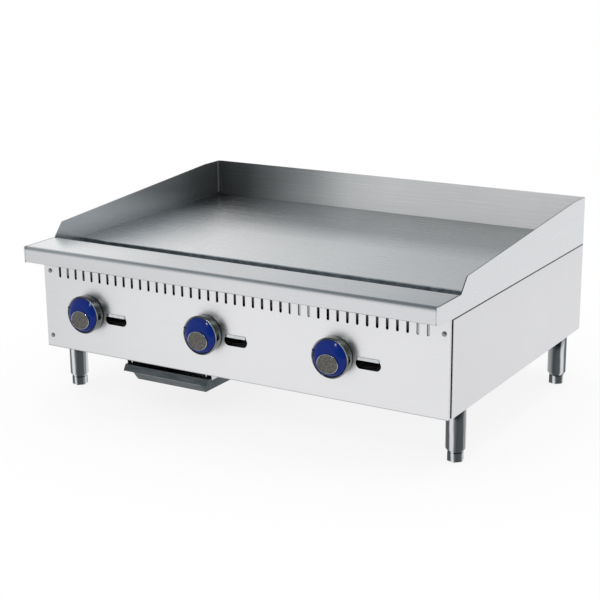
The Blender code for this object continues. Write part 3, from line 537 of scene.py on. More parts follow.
@dataclass(frozen=True)
class FoldedSheet(BrushedSheet):
    """Brushed sheet of the ledge with painted shade: the top and the apron each darkened in their own way, a
    darker nose between them and a shade line along the lower fold.
    """

    # Painted shade: the top darker towards the right, the apron dark all along, the nose darker towards the
    # left, and a line along the lower fold.
    top_painted_shade: PaintedShadeRamp = PaintedShadeRamp(
        "X", -0.45, 0.45, ((0.12, 1.0), (0.35, 0.79), (0.6, 0.75), (1.0, 0.60)), (0.97, 0.985, 1.03))
    apron_painted_shade: PaintedShadeRamp = PaintedShadeRamp(
        "X", -0.45, 0.45, ((0.0, 0.62), (0.5, 0.70), (1.0, 0.70)), (0.97, 0.985, 1.03))
    nose_painted_shade: PaintedShadeRamp = PaintedShadeRamp("X", -0.45, 0.25, ((0.0, 0.42), (0.3, 0.62), (0.6, 0.88), (1.0, 1.0)))
    fold_shade: PaintedShadeRamp = PaintedShadeRamp("Z", 0.2898, 0.2922, ((0.0, 0.42), (0.5, 0.62), (1.0, 1.0)))
    top_turn: Point2 = (0.2, 0.9)
    nose_middle: float = 0.5

    def paint_light_and_shade(self, nodes: NodeBuilder, colour: Socket) -> Socket:
        """Paint shade on the top, the apron, the nose between them and the fold.

        Args:
            nodes: Builder of the material's tree.
            colour: Colour of the new sheet.

        Returns:
            Colour output.
        """
        is_top = nodes.map_range(nodes.facing("Z"), *self.top_turn)
        apron, top = self.apron_painted_shade.apply(nodes, colour), self.top_painted_shade.apply(nodes, colour)
        painted_shade_colour = nodes.mix_colours(is_top, apron, top)
        between = nodes.calculate("PINGPONG", is_top, self.nose_middle)
        is_nose = nodes.map_range(between, 0.0, self.nose_middle)
        return self.fold_shade.apply(nodes, nodes.mix_colours(is_nose, painted_shade_colour, self.nose_painted_shade.apply(nodes, painted_shade_colour)))


@dataclass(frozen=True)
class GroundPlate(BrushedSheet):
    """Ground steel plate: bright grind lines and painted reflections on top, dark mill scale on its edges.
    """

    rough_play: Point2 = (-0.05, 0.06)
    relief: Relief = Relief(0.00004, 0.28)
    tone_ends: Point2 = (0.32, 0.68)
    long_lines: Noise = Noise(160.0, 4.0, (0.02, 1.0, 1.0))
    line_share: float = 0.55
    mill_scale: Noise = Noise(60.0, 4.0)
    edge: Colour = (0.24, 0.28, 0.30)
    edge_tones: Point2 = (1.0, 1.8)
    # Painted reflections across the top from left to right, one ramp for the front and one for the rear.
    front_light_and_shade: PaintedShadeRamp = PaintedShadeRamp(
        "X", -0.455, 0.455,
        ((0.02, 0.44), (0.09, 0.82), (0.28, 0.975), (0.5, 0.82), (0.75, 0.69), (1.0, 0.66)))
    rear_light_and_shade: PaintedShadeRamp = PaintedShadeRamp(
        "X", -0.455, 0.455,
        ((0.02, 0.42), (0.08, 0.98), (0.17, 0.88), (0.28, 0.74), (0.39, 0.585), (0.5, 0.455), (1.0, 0.43)))
    rear_turn: Point2 = (0.02, 0.14)
    top_turn: Point2 = (0.55, 0.85)

    def paint(self, nodes: NodeBuilder) -> dict[str, object]:
        """Let grind lines of two lengths and painted reflections colour the top, and mill scale the edges.

        Args:
            nodes: Builder of the material's tree.

        Returns:
            The shader's sockets with what feeds each.
        """
        both = nodes.mix(self.line_share, self.streak_noise(nodes), nodes.noise(self.long_lines))
        ground = self.grain_and_painted_shade(nodes, both)
        is_rear = nodes.map_range(nodes.place("Y"), *self.rear_turn)
        front, rear = self.front_light_and_shade.apply(nodes, ground), self.rear_light_and_shade.apply(nodes, ground)
        top = nodes.mix_colours(is_rear, front, rear)
        is_top = nodes.map_range(nodes.facing("Z"), *self.top_turn)
        edge = nodes.ramp(nodes.noise(self.mill_scale), two_tones(self.edge, NOISE_ENDS, self.edge_tones))
        return self.brushed(nodes, nodes.mix_colours(is_top, edge, top), both)


@dataclass(frozen=True)
class Mottled(Finish):
    """Finish that one noise makes lighter and darker, with a relief that may follow another."""

    mottle: Noise = Noise(180.0, 3.0)
    mottle_ends: Point2 = NOISE_ENDS
    mottle_tones: Point2 = (0.85, 1.15)
    peel: Noise | None = None
    gloss: float = 0.5

    def paint(self, nodes: NodeBuilder) -> dict[str, object]:
        """Let the noises vary the colour, the roughness and the relief.

        Args:
            nodes: Builder of the material's tree.

        Returns:
            The shader's sockets with what feeds each.
        """
        mottle = nodes.noise(self.mottle)
        colour = nodes.ramp(mottle, two_tones(self.colour, self.mottle_ends, self.mottle_tones))
        height = nodes.noise(self.peel) if self.peel else mottle
        return self.surface(nodes, colour, mottle, height) | {"Specular IOR Level": self.gloss}


@dataclass(frozen=True)
class PolishedMetal(Mottled):
    """Polished or plated metal with faint wipe marks and a little tarnish."""

    relief: Relief = Relief(0.00002, 0.2)
    mottle: Noise = Noise(120.0, 4.0, (1.0, 1.0, 0.15))
    mottle_ends: Point2 = (0.3, 0.6)
    mottle_tones: Point2 = (0.88, 1.0)
    rough_factors: Point2 = (0.8, 1.3)

    def rough_range(self) -> Point2:
        """Give the least and the most roughness."""
        return self.roughness * self.rough_factors[0], self.roughness * self.rough_factors[1]


@dataclass(frozen=True)
class GlossPlastic(Mottled):
    """Moulded glossy plastic with a mottled colour and a faint orange peel."""

    metallic: float = 0.0
    rough_play: Point2 = (0.0, 0.08)
    relief: Relief = Relief(0.00003, 0.15)
    peel: Noise | None = Noise(900.0, 2.0)
    gloss: float = 0.4


@dataclass(frozen=True)
class SatinDisc(Mottled):
    """Satin metal with a coarse, sparkling grain."""

    rough_play: Point2 = (-0.08, 0.08)
    relief: Relief = Relief(0.00008, 0.4)
    mottle: Noise = Noise(280.0, 2.0)
    mottle_ends: Point2 = (0.36, 0.64)
    mottle_tones: Point2 = (0.68, 1.36)


@dataclass(frozen=True)
class StreakReflectionTube(Finish):
    """Polished drawn tube with painted reflections: long dark and bright streaks from end to end."""

    rough_play: Point2 = (-0.04, 0.05)
    relief: Relief = Relief(0.00002, 0.15)
    dark: Colour = (0.056, 0.065, 0.071)
    wave: Noise = Noise(90.0, 3.0, (1.0, 1.0, 0.25))
    wobble: float = 0.05
    turn: float = 0.0
    # Painted reflections: each stop is a place round the tube and how far it lies from the dark towards the
    # tube's colour.
    streaks: tuple[Point2, ...] = (
        (0.00, 0.9), (0.07, 0.9), (0.11, 0.3), (0.22, 0.45), (0.30, 0.3), (0.335, 0.0), (0.45, 0.05),
        (0.475, 0.95), (0.52, 1.0), (0.55, 0.12), (0.58, 0.0), (0.685, 0.03), (0.705, 0.35), (0.735, 0.3),
        (0.755, 0.9), (0.81, 1.0), (0.85, 0.1), (0.94, 0.0), (0.97, 0.9))

    def paint(self, nodes: NodeBuilder) -> dict[str, object]:
        """Paint the reflection streaks on the tube by the place round it.

        Args:
            nodes: Builder of the material's tree.

        Returns:
            The shader's sockets with what feeds each.
        """
        point = nodes.turned_point(self.turn)
        front = nodes.calculate("MULTIPLY", nodes.part(point, "Y"), -1.0)
        angle = nodes.calculate("ARCTAN2", nodes.part(point, "X"), front)
        wave = nodes.noise(self.wave, point)
        wobble = nodes.map_range(wave, *NOISE_ENDS, -self.wobble, self.wobble)
        share = nodes.map_range(nodes.calculate("ADD", angle, wobble), -math.pi, math.pi)
        colours = [
            (at, tuple(low + (high - low) * tone for low, high in zip(self.dark, self.colour)))
            for at, tone in self.streaks]
        return self.surface(nodes, self.paint_light_and_shade(nodes, nodes.ramp(share, colours)), wave)

    def paint_light_and_shade(self, nodes: NodeBuilder, colour: Socket) -> Socket:
        """Give the painted reflection streaks as they are; other turned pieces may keep them to some faces
        here.
        """
        return colour


@dataclass(frozen=True)
class PaintedSheenRing(StreakReflectionTube):
    """Dark plated ring with painted sheen highlights round its lip and a plain grey side."""

    dark: Colour = (0.026, 0.030, 0.028)
    side: Colour = (0.17, 0.185, 0.178)
    lip_turn: Point2 = (-0.15, -0.6)
    # Painted sheen highlights round the lip.
    streaks: tuple[Point2, ...] = (
        (0.00, 0.10), (0.05, 0.08), (0.11, 0.45), (0.17, 0.60), (0.22, 0.20), (0.25, 0.0), (0.29, 0.35),
        (0.35, 0.12), (0.42, 0.02), (0.52, 0.04), (0.60, 0.35), (0.67, 0.45), (0.73, 0.25), (0.80, 0.75),
        (0.87, 1.00), (0.92, 0.55), (0.96, 0.12))

    def paint_light_and_shade(self, nodes: NodeBuilder, colour: Socket) -> Socket:
        """Keep the painted sheen highlights to the lip, which faces the cook."""
        lip = nodes.map_range(nodes.facing("Y"), *self.lip_turn)
        return nodes.mix_colours(lip, (*self.side, 1.0), colour)


@dataclass(frozen=True)
class CoatedSteel(Finish):
    """Dark coated steel with rub marks and grease haze."""

    rough_play: Point2 = (-0.06, 0.10)
    relief: Relief = Relief(0.00005, 0.25)
    rubbed: Colour = (0.16, 0.18, 0.19)
    rub_ends: Point2 = (0.38, 0.72)
    haze: Noise = Noise(22.0, 5.0)
    rub_marks: Noise = Noise(260.0, 3.0, (0.12, 1.0, 1.0))
    rub_share: float = 0.4

    def paint(self, nodes: NodeBuilder) -> dict[str, object]:
        """Let haze and rub marks vary the coat.

        Args:
            nodes: Builder of the material's tree.

        Returns:
            The shader's sockets with what feeds each.
        """
        haze, marks = nodes.noise(self.haze), nodes.noise(self.rub_marks)
        both = nodes.mix(self.rub_share, haze, marks)
        colour = nodes.ramp(both, list(zip(self.rub_ends, (self.colour, self.rubbed))))
        return self.surface(nodes, colour, haze, marks)


@dataclass(frozen=True)
class Spangled(Finish):
    """Galvanised steel with its zinc spangle."""

    rough_play: Point2 = (-0.1, 0.1)
    relief: Relief = Relief(0.00004, 0.2)
    flake: float = 140.0
    flake_tones: Point2 = (0.75, 1.2)
    dimples: Noise = Noise(300.0, 2.0)

    def paint(self, nodes: NodeBuilder) -> dict[str, object]:
        """Let the spangle's flakes vary the zinc.

        Args:
            nodes: Builder of the material's tree.

        Returns:
            The shader's sockets with what feeds each.
        """
        flakes = nodes.add("ShaderNodeTexVoronoi", {"Vector": nodes.object_point(), "Scale": self.flake})
        tone = nodes.add("ShaderNodeSeparateColor", {0: flakes.outputs["Color"]}).outputs[0]
        return {
            "Base Color": nodes.ramp(tone, two_tones(self.colour, (0.0, 1.0), self.flake_tones)),
            "Roughness": nodes.map_range(tone, 0.0, 1.0, *self.rough_range()),
            "Normal": nodes.bump(nodes.noise(self.dimples), self.relief),
        }


@dataclass(frozen=True)
class FloorPaper:
    """Plain studio floor that keeps the shadow near the object and fades to white further out."""

    name: str
    colour: Colour
    fibre: Noise = Noise(400.0, 3.0)
    fibre_tones: Point2 = (0.995, 1.0)
    keep: float = 0.45
    fade: float = 1.1
    glow: float = 0.82

    def material(self) -> Material:
        """Build the floor's material, white where the camera and the metal see it far off.

        Returns:
            The new material.
        """
        made, nodes = new_material(self.name, self.colour)
        colour = nodes.ramp(nodes.noise(self.fibre), two_tones(self.colour, NOISE_ENDS, self.fibre_tones))
        paper = nodes.add("ShaderNodeBsdfDiffuse", {"Color": colour})
        white = nodes.add("ShaderNodeEmission", {"Color": WHITE, "Strength": 1.0})
        away = nodes.add("ShaderNodeVectorMath", {0: nodes.object_point()}, operation="LENGTH")
        far = nodes.map_range(away.outputs["Value"], self.keep, self.fade, self.glow, 1.0)
        share = nodes.calculate("MULTIPLY", far, shown_rays(nodes))
        mixed = nodes.add("ShaderNodeMixShader", {0: share, 1: paper.outputs[0], 2: white.outputs[0]})
        nodes.add("ShaderNodeOutputMaterial", {"Surface": mixed.outputs[0]})
        return made


def shown_rays(nodes: NodeBuilder) -> Socket:
    """Give 1 for rays that show a background: those of the camera, of gloss and through glass.

    Args:
        nodes: Builder of the tree.

    Returns:
        Number output.
    """
    path = nodes.add("ShaderNodeLightPath").outputs
    seen = nodes.calculate("MAXIMUM", path["Is Camera Ray"], path["Is Glossy Ray"])
    return nodes.calculate("MAXIMUM", seen, path["Is Transmission Ray"])


@dataclass(frozen=True)
class Palette:
    """Every finish on the griddle, built once."""

    front_sheet: Material
    rear_sheet: Material
    side_sheet: Material
    left_guard_sheet: Material
    right_guard_sheet: Material
    rear_guard_sheet: Material
    ledge_sheet: Material
    plate: Material
    polished: Material
    # Tubes with painted reflection streaks; in the second they are turned further round.
    tube: Material
    turned_tube: Material
    chrome: Material
    bezel: Material
    blue: Material
    silver: Material
    tray: Material
    dull: Material
    galvanised: Material
    brass: Material
    iron: Material
    black: Material

    @classmethod
    def build(cls) -> Palette:
        """Build the materials of all the finishes.

        Returns:
            The palette that holds them.
        """
        # Painted light and shade: the front panel darker to the left, a shade line along the side panels'
        # top edge at the seam, light and shade on the guards' faces towards the plate, the rear guard darker
        # towards its top and the plate darker towards its rear.
        front_light_and_shade = PaintedShadeRamp("X", -0.457, 0.0, ((0.0, 0.845), (0.12, 0.86), (0.56, 0.945), (1.0, 0.99)))
        seam_painted_shade = PaintedShadeRamp("Z", 0.2838, 0.2848, ((0.0, 1.0), (1.0, 0.12)))
        left_guard_light_and_shade = PaintedShadeRamp(
            "Y", -0.30, 0.34, ((0.23, 0.80), (0.40, 0.74), (0.55, 0.70), (0.70, 0.68), (0.86, 0.52)))
        rear_guard_light_and_shade = PaintedShadeRamp(
            "X", -0.45, 0.45,
            ((0.0, 0.05), (0.08, 0.085), (0.17, 0.22), (0.28, 0.43), (0.39, 0.79), (0.50, 0.92),
             (0.72, 0.93), (0.86, 1.0)))
        rear_light_and_shade = PaintedShadeRamp("Z", 0.30, 0.386, ((0.0, 1.0), (1.0, 0.88)))
        plate_painted_shade = PaintedShadeRamp("Y", 0.20, 0.33, ((0.0, 1.0), (0.55, 0.92), (1.0, 0.68)))
        tube = StreakReflectionTube("drawn_tube", (0.70, 0.71, 0.73), 0.16)
        finishes: dict[str, Finish] = {
            "front_sheet": PunchedSheet("front_sheet", (0.80, 0.80, 0.815), 0.34, painted_shades=(front_light_and_shade,)),
            "rear_sheet": BrushedSheet("rear_sheet", (0.74, 0.74, 0.755), 0.36),
            "side_sheet": BrushedSheet(
                "side_sheet", (0.715, 0.715, 0.735), 0.34, grain=Grain.ALONG_Y, painted_shades=(seam_painted_shade,)),
            "left_guard_sheet": InnerShadedSheet(
                "left_guard_sheet", (0.96, 0.98, 1.0), 0.20, 0.94, grain=Grain.ALONG_Y, inner_light_and_shade=left_guard_light_and_shade),
            "right_guard_sheet": TopShadedSheet(
                "right_guard_sheet", (0.68, 0.69, 0.71), 0.26, grain=Grain.ALONG_Y, contrast=0.004,
                streak_stretch=0.002, relief=Relief(0.000002, 0.25)),
            "rear_guard_sheet": InnerShadedSheet(
                "rear_guard_sheet", (0.97, 0.96, 0.96), 0.24, 0.20, contrast=0.06, inner_axis="Y",
                inner_sign=-1.0, inner_light_and_shade=rear_guard_light_and_shade, painted_shades=(rear_light_and_shade,)),
            "ledge_sheet": FoldedSheet("ledge_sheet", (0.955, 0.965, 0.99), 0.26, anisotropy=0.75),
            "plate": GroundPlate(
                "ground_plate", (0.98, 0.988, 1.0), 0.25, contrast=0.10, anisotropy=0.6,
                painted_shades=(plate_painted_shade,)),
            "polished": PolishedMetal("polished_steel", (0.62, 0.64, 0.66), 0.14),
            "tube": tube,
            "turned_tube": replace(tube, name="turned_tube", turn=STREAK_TURN),
            "chrome": PaintedSheenRing("dark_chrome", (0.46, 0.48, 0.46), 0.16),
            "bezel": PolishedMetal("bright_bezel", (0.40, 0.41, 0.41), 0.12),
            "blue": GlossPlastic("blue_plastic", (0.002, 0.017, 0.165), 0.09, gloss=0.15),
            "silver": SatinDisc("satin_silver", (0.120, 0.115, 0.106), 0.42),
            "tray": CoatedSteel("dark_tray", (0.060, 0.075, 0.080), 0.40),
            "dull": PolishedMetal("dull_steel", (0.26, 0.28, 0.29), 0.30),
            "galvanised": Spangled("galvanised", (0.30, 0.31, 0.32), 0.46),
            "brass": PolishedMetal("brass", (0.60, 0.42, 0.16), 0.28, mottle_tones=(0.6, 1.0)),
            "iron": CoatedSteel("burner_iron", (0.030, 0.028, 0.027), 0.60, 0.8, rubbed=(0.07, 0.06, 0.05)),
            "black": GlossPlastic("black_mark", (0.012, 0.012, 0.014), 0.4),
        }
        return cls(**{role: finish.material() for role, finish in finishes.items()})


def new_piece(
        name: str, build: Fill, material: Material, body: str,
        place: Matrix | None = None) -> bpy.types.Object:
    """Make a smooth-shaded piece that rides on a CAD body.

    Args:
        name: Name of the piece.
        build: Function that fills a mesh.
        material: Its material.
        body: CAD body that it moves with.
        place: Where its own frame stands.

    Returns:
        The new object.
    """
    work = bmesh.new()
    build(work)
    bmesh.ops.recalc_face_normals(work, faces=work.faces)
    mesh = bpy.data.meshes.new(name)
    work.to_mesh(mesh)
    work.free()
    mesh.shade_smooth()
    mesh.set_sharp_from_angle(angle=SHARP_ANGLE)
    mesh.materials.append(material)
    obj = bpy.data.objects.new(name, mesh)
    bpy.context.scene.collection.objects.link(obj)
    obj.matrix_world = place or Matrix.Identity(4)
    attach(obj, body)
    LOG.info("piece %s on %s", name, body)
    return obj


def arc(centre: Point2, radii: Point2, start: float, end: float, steps: int) -> list[Point2]:
    """Draw an arc of a circle or an upright oval.

    Args:
        centre: Its centre.
        radii: Its half width and half height.
        start: Angle where it starts.
        end: Angle where it ends.
        steps: Steps along it.

    Returns:
        Points from the start to the end.
    """
    angles = [start + (end - start) * step / steps for step in range(steps + 1)]
    return [
        (centre[0] + radii[0] * math.cos(angle), centre[1] + radii[1] * math.sin(angle)) for angle in angles]


def lathe(work: Mesh, profile: Sequence[Point2], steps: int) -> None:
    """Turn a profile about the vertical axis.

    Args:
        work: Mesh to add to.
        profile: Radius and height of each point.
        steps: Steps round the axis.
    """
    verts = [work.verts.new((radius, 0, height)) for radius, height in profile]
    edges = [work.edges.new(pair) for pair in zip(verts, verts[1:])]
    bmesh.ops.spin(
        work, geom=verts + edges, cent=(0, 0, 0), axis=(0, 0, 1), angle=2 * math.pi, steps=steps,
        use_merge=True)
    bmesh.ops.remove_doubles(work, verts=work.verts, dist=MERGE_DISTANCE)


def add_block(work: Mesh, place: Matrix, size: Point3, edge: float) -> None:
    """Add a block with broken edges.

    Args:
        work: Mesh to add to, which is empty.
        place: Where the block's middle stands.
        size: Its size along each axis.
        edge: Width of the broken edges.
    """
    bmesh.ops.create_cube(work, size=1, matrix=place @ Matrix.Diagonal((*size, 1)))
    bmesh.ops.bevel(work, geom=work.edges[:], offset=edge, segments=2, affect="EDGES")


def rounded(points: Sequence[Point2], radii: Sequence[float], steps: int) -> list[Vector]:
    """Round the inner corners of an open path.

    Args:
        points: Points of the path.
        radii: Radius of each inner corner.
        steps: Steps in each corner.

    Returns:
        Points of the rounded path.
    """
    path = [Vector(points[0])]
    for before, corner, after, radius in zip(points, points[1:], points[2:], radii):
        middle = Vector(corner)
        back = (Vector(before) - middle).normalized()
        ahead = (Vector(after) - middle).normalized()
        half = back.angle(ahead) / 2
        centre = middle + (back + ahead).normalized() * (radius / math.sin(half))
        start = middle + back * (radius / math.tan(half)) - centre
        sweep = (middle + ahead * (radius / math.tan(half)) - centre).angle_signed(start)
        for step in range(steps + 1):
            arm = start.copy()
            arm.rotate(Matrix.Rotation(sweep * step / steps, 2))
            path.append(centre + arm)
    path.append(Vector(points[-1]))
    return path


def sheet_section(path: Sequence[Vector], sheet: float) -> list[Vector]:
    """Close a path into the section of a folded sheet that lies on its right.

    Args:
        path: Outer face of the sheet.
        sheet: Thickness of the sheet, below 0 for a sheet on the left.

    Returns:
        Points round the section.
    """
    inner = []
    for index, point in enumerate(path):
        normals = []
        for start, end in ((path[max(index - 1, 0)], point), (point, path[min(index + 1, len(path) - 1)])):
            if (end - start).length > 0:
                along = (end - start).normalized()
                normals.append(Vector((along.y, -along.x)))
        mitre = sum(normals, Vector((0, 0))).normalized()
        inner.append(point + mitre * (sheet / mitre.dot(normals[0])))
    return list(path) + inner[::-1]


def bar_along_x(section: Sequence[Sequence[float]], start: float, end: float) -> Fill:
    """Give a section in Y and Z length along X.

    Args:
        section: Points round the section.
        start: X where it starts.
        end: X where it ends.

    Returns:
        Function that adds the bar to a mesh.
    """

    def fill(work: Mesh) -> None:
        """Add the bar.

        Args:
            work: Mesh to add to.
        """
        face = work.faces.new([work.verts.new((start, y, z)) for y, z in section])
        made = bmesh.ops.extrude_face_region(work, geom=[face], use_keep_orig=True)
        moved = [item for item in made["geom"] if isinstance(item, bmesh.types.BMVert)]
        bmesh.ops.translate(work, verts=moved, vec=(end - start, 0, 0))

    return fill


@dataclass
class CadDresser:
    """Gives finishes to the CAD nodes that are shown as they are."""

    nodes: Mapping[str, bpy.types.Object]

    def dress(self, material: Material, *names: str) -> None:
        """Put a material on CAD nodes.

        Args:
            material: The finish.
            *names: Names of the nodes.
        """
        for name in names:
            materials = self.nodes[name].data.materials
            materials.clear()
            materials.append(material)
            LOG.info("CAD node %s takes %s", name, material.name)


@dataclass
class SheetBody:
    """Folded panels of the body, the plate, the trough, the chute, the tray and its runners."""

    dresser: CadDresser
    palette: Palette

    def dress(self) -> None:
        """Give the panels and the plate their finishes."""
        look, dress = self.palette, self.dresser.dress
        dress(look.front_sheet, "front_panel")
        dress(look.rear_sheet, "rear_panel", "bottom_pan", "grease_trough")
        dress(look.side_sheet, "left_side_panel", "right_side_panel")
        dress(look.side_sheet, "tray_runner_left", "tray_runner_right")
        dress(look.left_guard_sheet, "left_splash")
        dress(look.right_guard_sheet, "right_splash")
        dress(look.rear_guard_sheet, "rear_splash")
        dress(look.plate, "griddle_plate")
        dress(look.tray, "grease_tray")
        dress(look.galvanised, "grease_chute")


@dataclass
class SeamShadeStrips:
    """Dark strips in the seams that the splash guards leave above the side panels, standing both for a seal
    and for the shade in these gaps.
    """

    palette: Palette
    seam: float = 0.0012
    inset: float = 0.0005
    width: float = 0.0045
    play: float = 0.0001

    def build(self) -> None:
        """Build a strip on each side."""
        for side, end, inward in (("left", 0, 1), ("right", 1, -1)):
            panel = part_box(f"{side}_side_panel")
            outer = panel[end].x + inward * self.inset
            start, stop = sorted((outer, outer + inward * self.width))
            self.build_strip(side, start, stop, panel)

    def build_strip(self, side: str, start: float, stop: float, panel: Sequence[Vector]) -> None:
        """Build one strip, with broken edges along its length.

        Args:
            side: Which side of the griddle.
            start: X where it starts.
            stop: X where it ends.
            panel: Box of the side panel that it lies on.
        """
        low = panel[1].z + self.play
        high = low + self.seam - 2 * self.play
        bevel = (high - low) / 4
        front, rear = panel[0].y, panel[1].y
        section = [
            (front + bevel, low), (rear - bevel, low), (rear, low + bevel), (rear, high - bevel),
            (rear - bevel, high), (front + bevel, high), (front, high - bevel), (front, low + bevel)]
        new_piece(
            f"seam_strip_{side}", bar_along_x(section, start, stop), self.palette.iron, BODY)


@dataclass
class GasTrain:
    """Burners, valves, pilots and pipes under the plate."""

    dresser: CadDresser
    palette: Palette

    def numbered(self, *names: str) -> list[str]:
        """Give the names of the pieces that each burner has."""
        return [f"{name}_{number}" for name in names for number in range(1, BURNERS + 1)]

    def dress(self) -> None:
        """Give the gas train its metals."""
        look, dress = self.palette, self.dresser.dress
        dress(look.iron, "front_baffle", *self.numbered("burner", "mixer_tube"))
        dress(look.brass, *self.numbered("gas_valve", "gas_orifice", "valve_stem"))
        dress(look.brass, *self.numbered("pilot_burner", "pilot_tube"))
        dress(
            look.galvanised, "gas_manifold", "gas_supply_pipe", "manifold_bracket_left",
            "manifold_bracket_right", "burner_rail_front", "burner_rail_rear")


@dataclass
class PlatingLedge:
    """Bull-nosed ledge along the front, folded from one sheet."""

    palette: Palette
    sheet: float = 0.0015
    bend: float = 0.0045
    nose: float = 0.0105
    end_seam: float = 0.0012
    apron_return: float = 0.012
    rear_drop: float = 0.018
    steps: int = 10

    def build(self) -> None:
        """Build the ledge with fine bends in place of its CAD node."""
        low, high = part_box("front_ledge")
        folds = [
            (low.y + self.apron_return, low.z), (low.y, low.z), (low.y, high.z), (high.y, high.z),
            (high.y, high.z - self.rear_drop)]
        path = rounded(folds, (self.bend, self.nose, self.bend), self.steps)
        section = sheet_section(path, self.sheet)
        bar = bar_along_x(section, low.x + self.end_seam, high.x - self.end_seam)
        ledge = new_piece("ledge", bar, self.palette.ledge_sheet, BODY)
        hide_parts("front_ledge")


@dataclass
class AdjustableLeg:
    """Turned leg with a rounded shoulder, and its hexagonal screw foot."""

    palette: Palette
    place: str
    tube: Material
    steps: int = 64
    collar_radius: float = 0.0158
    collar_height: float = 0.004
    shoulder: float = 0.0035
    shoulder_steps: int = 8
    stud_radius: float = 0.006
    thread_pitch: float = 0.00175
    thread_depth: float = 0.0007
    foot_sides: int = 6
    foot_edge: float = 0.0012
    foot_edge_steps: int = 3
    foot_corner: float = 0.0162
    foot_turn: float = math.radians(14)
    foot_gap: float = 0.0003

    def build(self) -> None:
        """Build the leg and the foot in place of their CAD nodes."""
        self.build_leg()
        self.build_foot()

    def leg_profile(self, bottom: float, top: float, radius: float) -> list[Point2]:
        """Draw the leg's outside from its lower end to its top.

        Args:
            bottom: Height of the lower end.
            top: Height of the upper end.
            radius: Radius of the tube.

        Returns:
            Radius and height of each point.
        """
        edge = self.foot_edge
        collar = self.collar_radius
        shoulder = arc(
            (collar, bottom + self.collar_height + self.shoulder), (radius - collar, self.shoulder),
            -QUARTER_TURN, 0.0, self.shoulder_steps)
        return [
            (self.stud_radius + edge / 2, bottom), (collar - edge, bottom), (collar, bottom + edge),
            *shoulder, (radius, top - edge), (radius - edge / 2, top), (0, top)]

    def build_leg(self) -> None:
        """Build the turned leg."""
        node = f"leg_{self.place}"
        low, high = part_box(node)
        middle = (low + high) / 2
        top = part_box("left_side_panel")[0].z
        profile = self.leg_profile(low.z, top, (high.x - low.x) / 2)
        leg = new_piece(
            f"turned_{node}", lambda work: lathe(work, profile, self.steps), self.tube, BODY,
            Matrix.Translation((middle.x, middle.y, 0)))
        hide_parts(node)

    def build_foot(self) -> None:
        """Build the hexagonal foot with its threaded stud."""
        node = f"foot_{self.place}"
        low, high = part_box(node)
        middle = (low + high) / 2
        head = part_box(f"leg_{self.place}")[0].z - self.foot_gap

        def hexagon(work: Mesh) -> None:
            """Add the hexagonal head with broken edges, and the stud.

            Args:
                work: Mesh to fill.
            """
            bmesh.ops.create_cone(
                work, cap_ends=True, segments=self.foot_sides, radius1=self.foot_corner,
                radius2=self.foot_corner, depth=head,
                matrix=Matrix.Translation((0, 0, head / 2)) @ Matrix.Rotation(self.foot_turn, 4, "Z"))
            bmesh.ops.bevel(
                work, geom=work.edges[:], offset=self.foot_edge, segments=self.foot_edge_steps, profile=0.5,
                affect="EDGES")
            lathe(work, self.thread_profile(head, high.z), self.steps // 2)

        foot = new_piece(
            f"hex_{node}", hexagon, self.palette.tube, f"{self.place}_foot",
            Matrix.Translation((middle.x, middle.y, 0)))
        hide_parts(node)

    def thread_profile(self, bottom: float, top: float) -> list[Point2]:
        """Draw the stud's ridges from the head up.

        Args:
            bottom: Height of the head's top.
            top: Height of the stud's end.

        Returns:
            Radius and height of each point.
        """
        root = self.stud_radius - self.thread_depth
        profile = [(0, bottom - self.foot_edge), (root, bottom - self.foot_edge)]
        height = bottom + self.thread_pitch
        while height < top - self.thread_pitch:
            profile += [(root, height), (self.stud_radius, height + self.thread_pitch / 2)]
            height += self.thread_pitch
        return profile + [(root, height), (root - self.thread_depth, top), (0, top)]


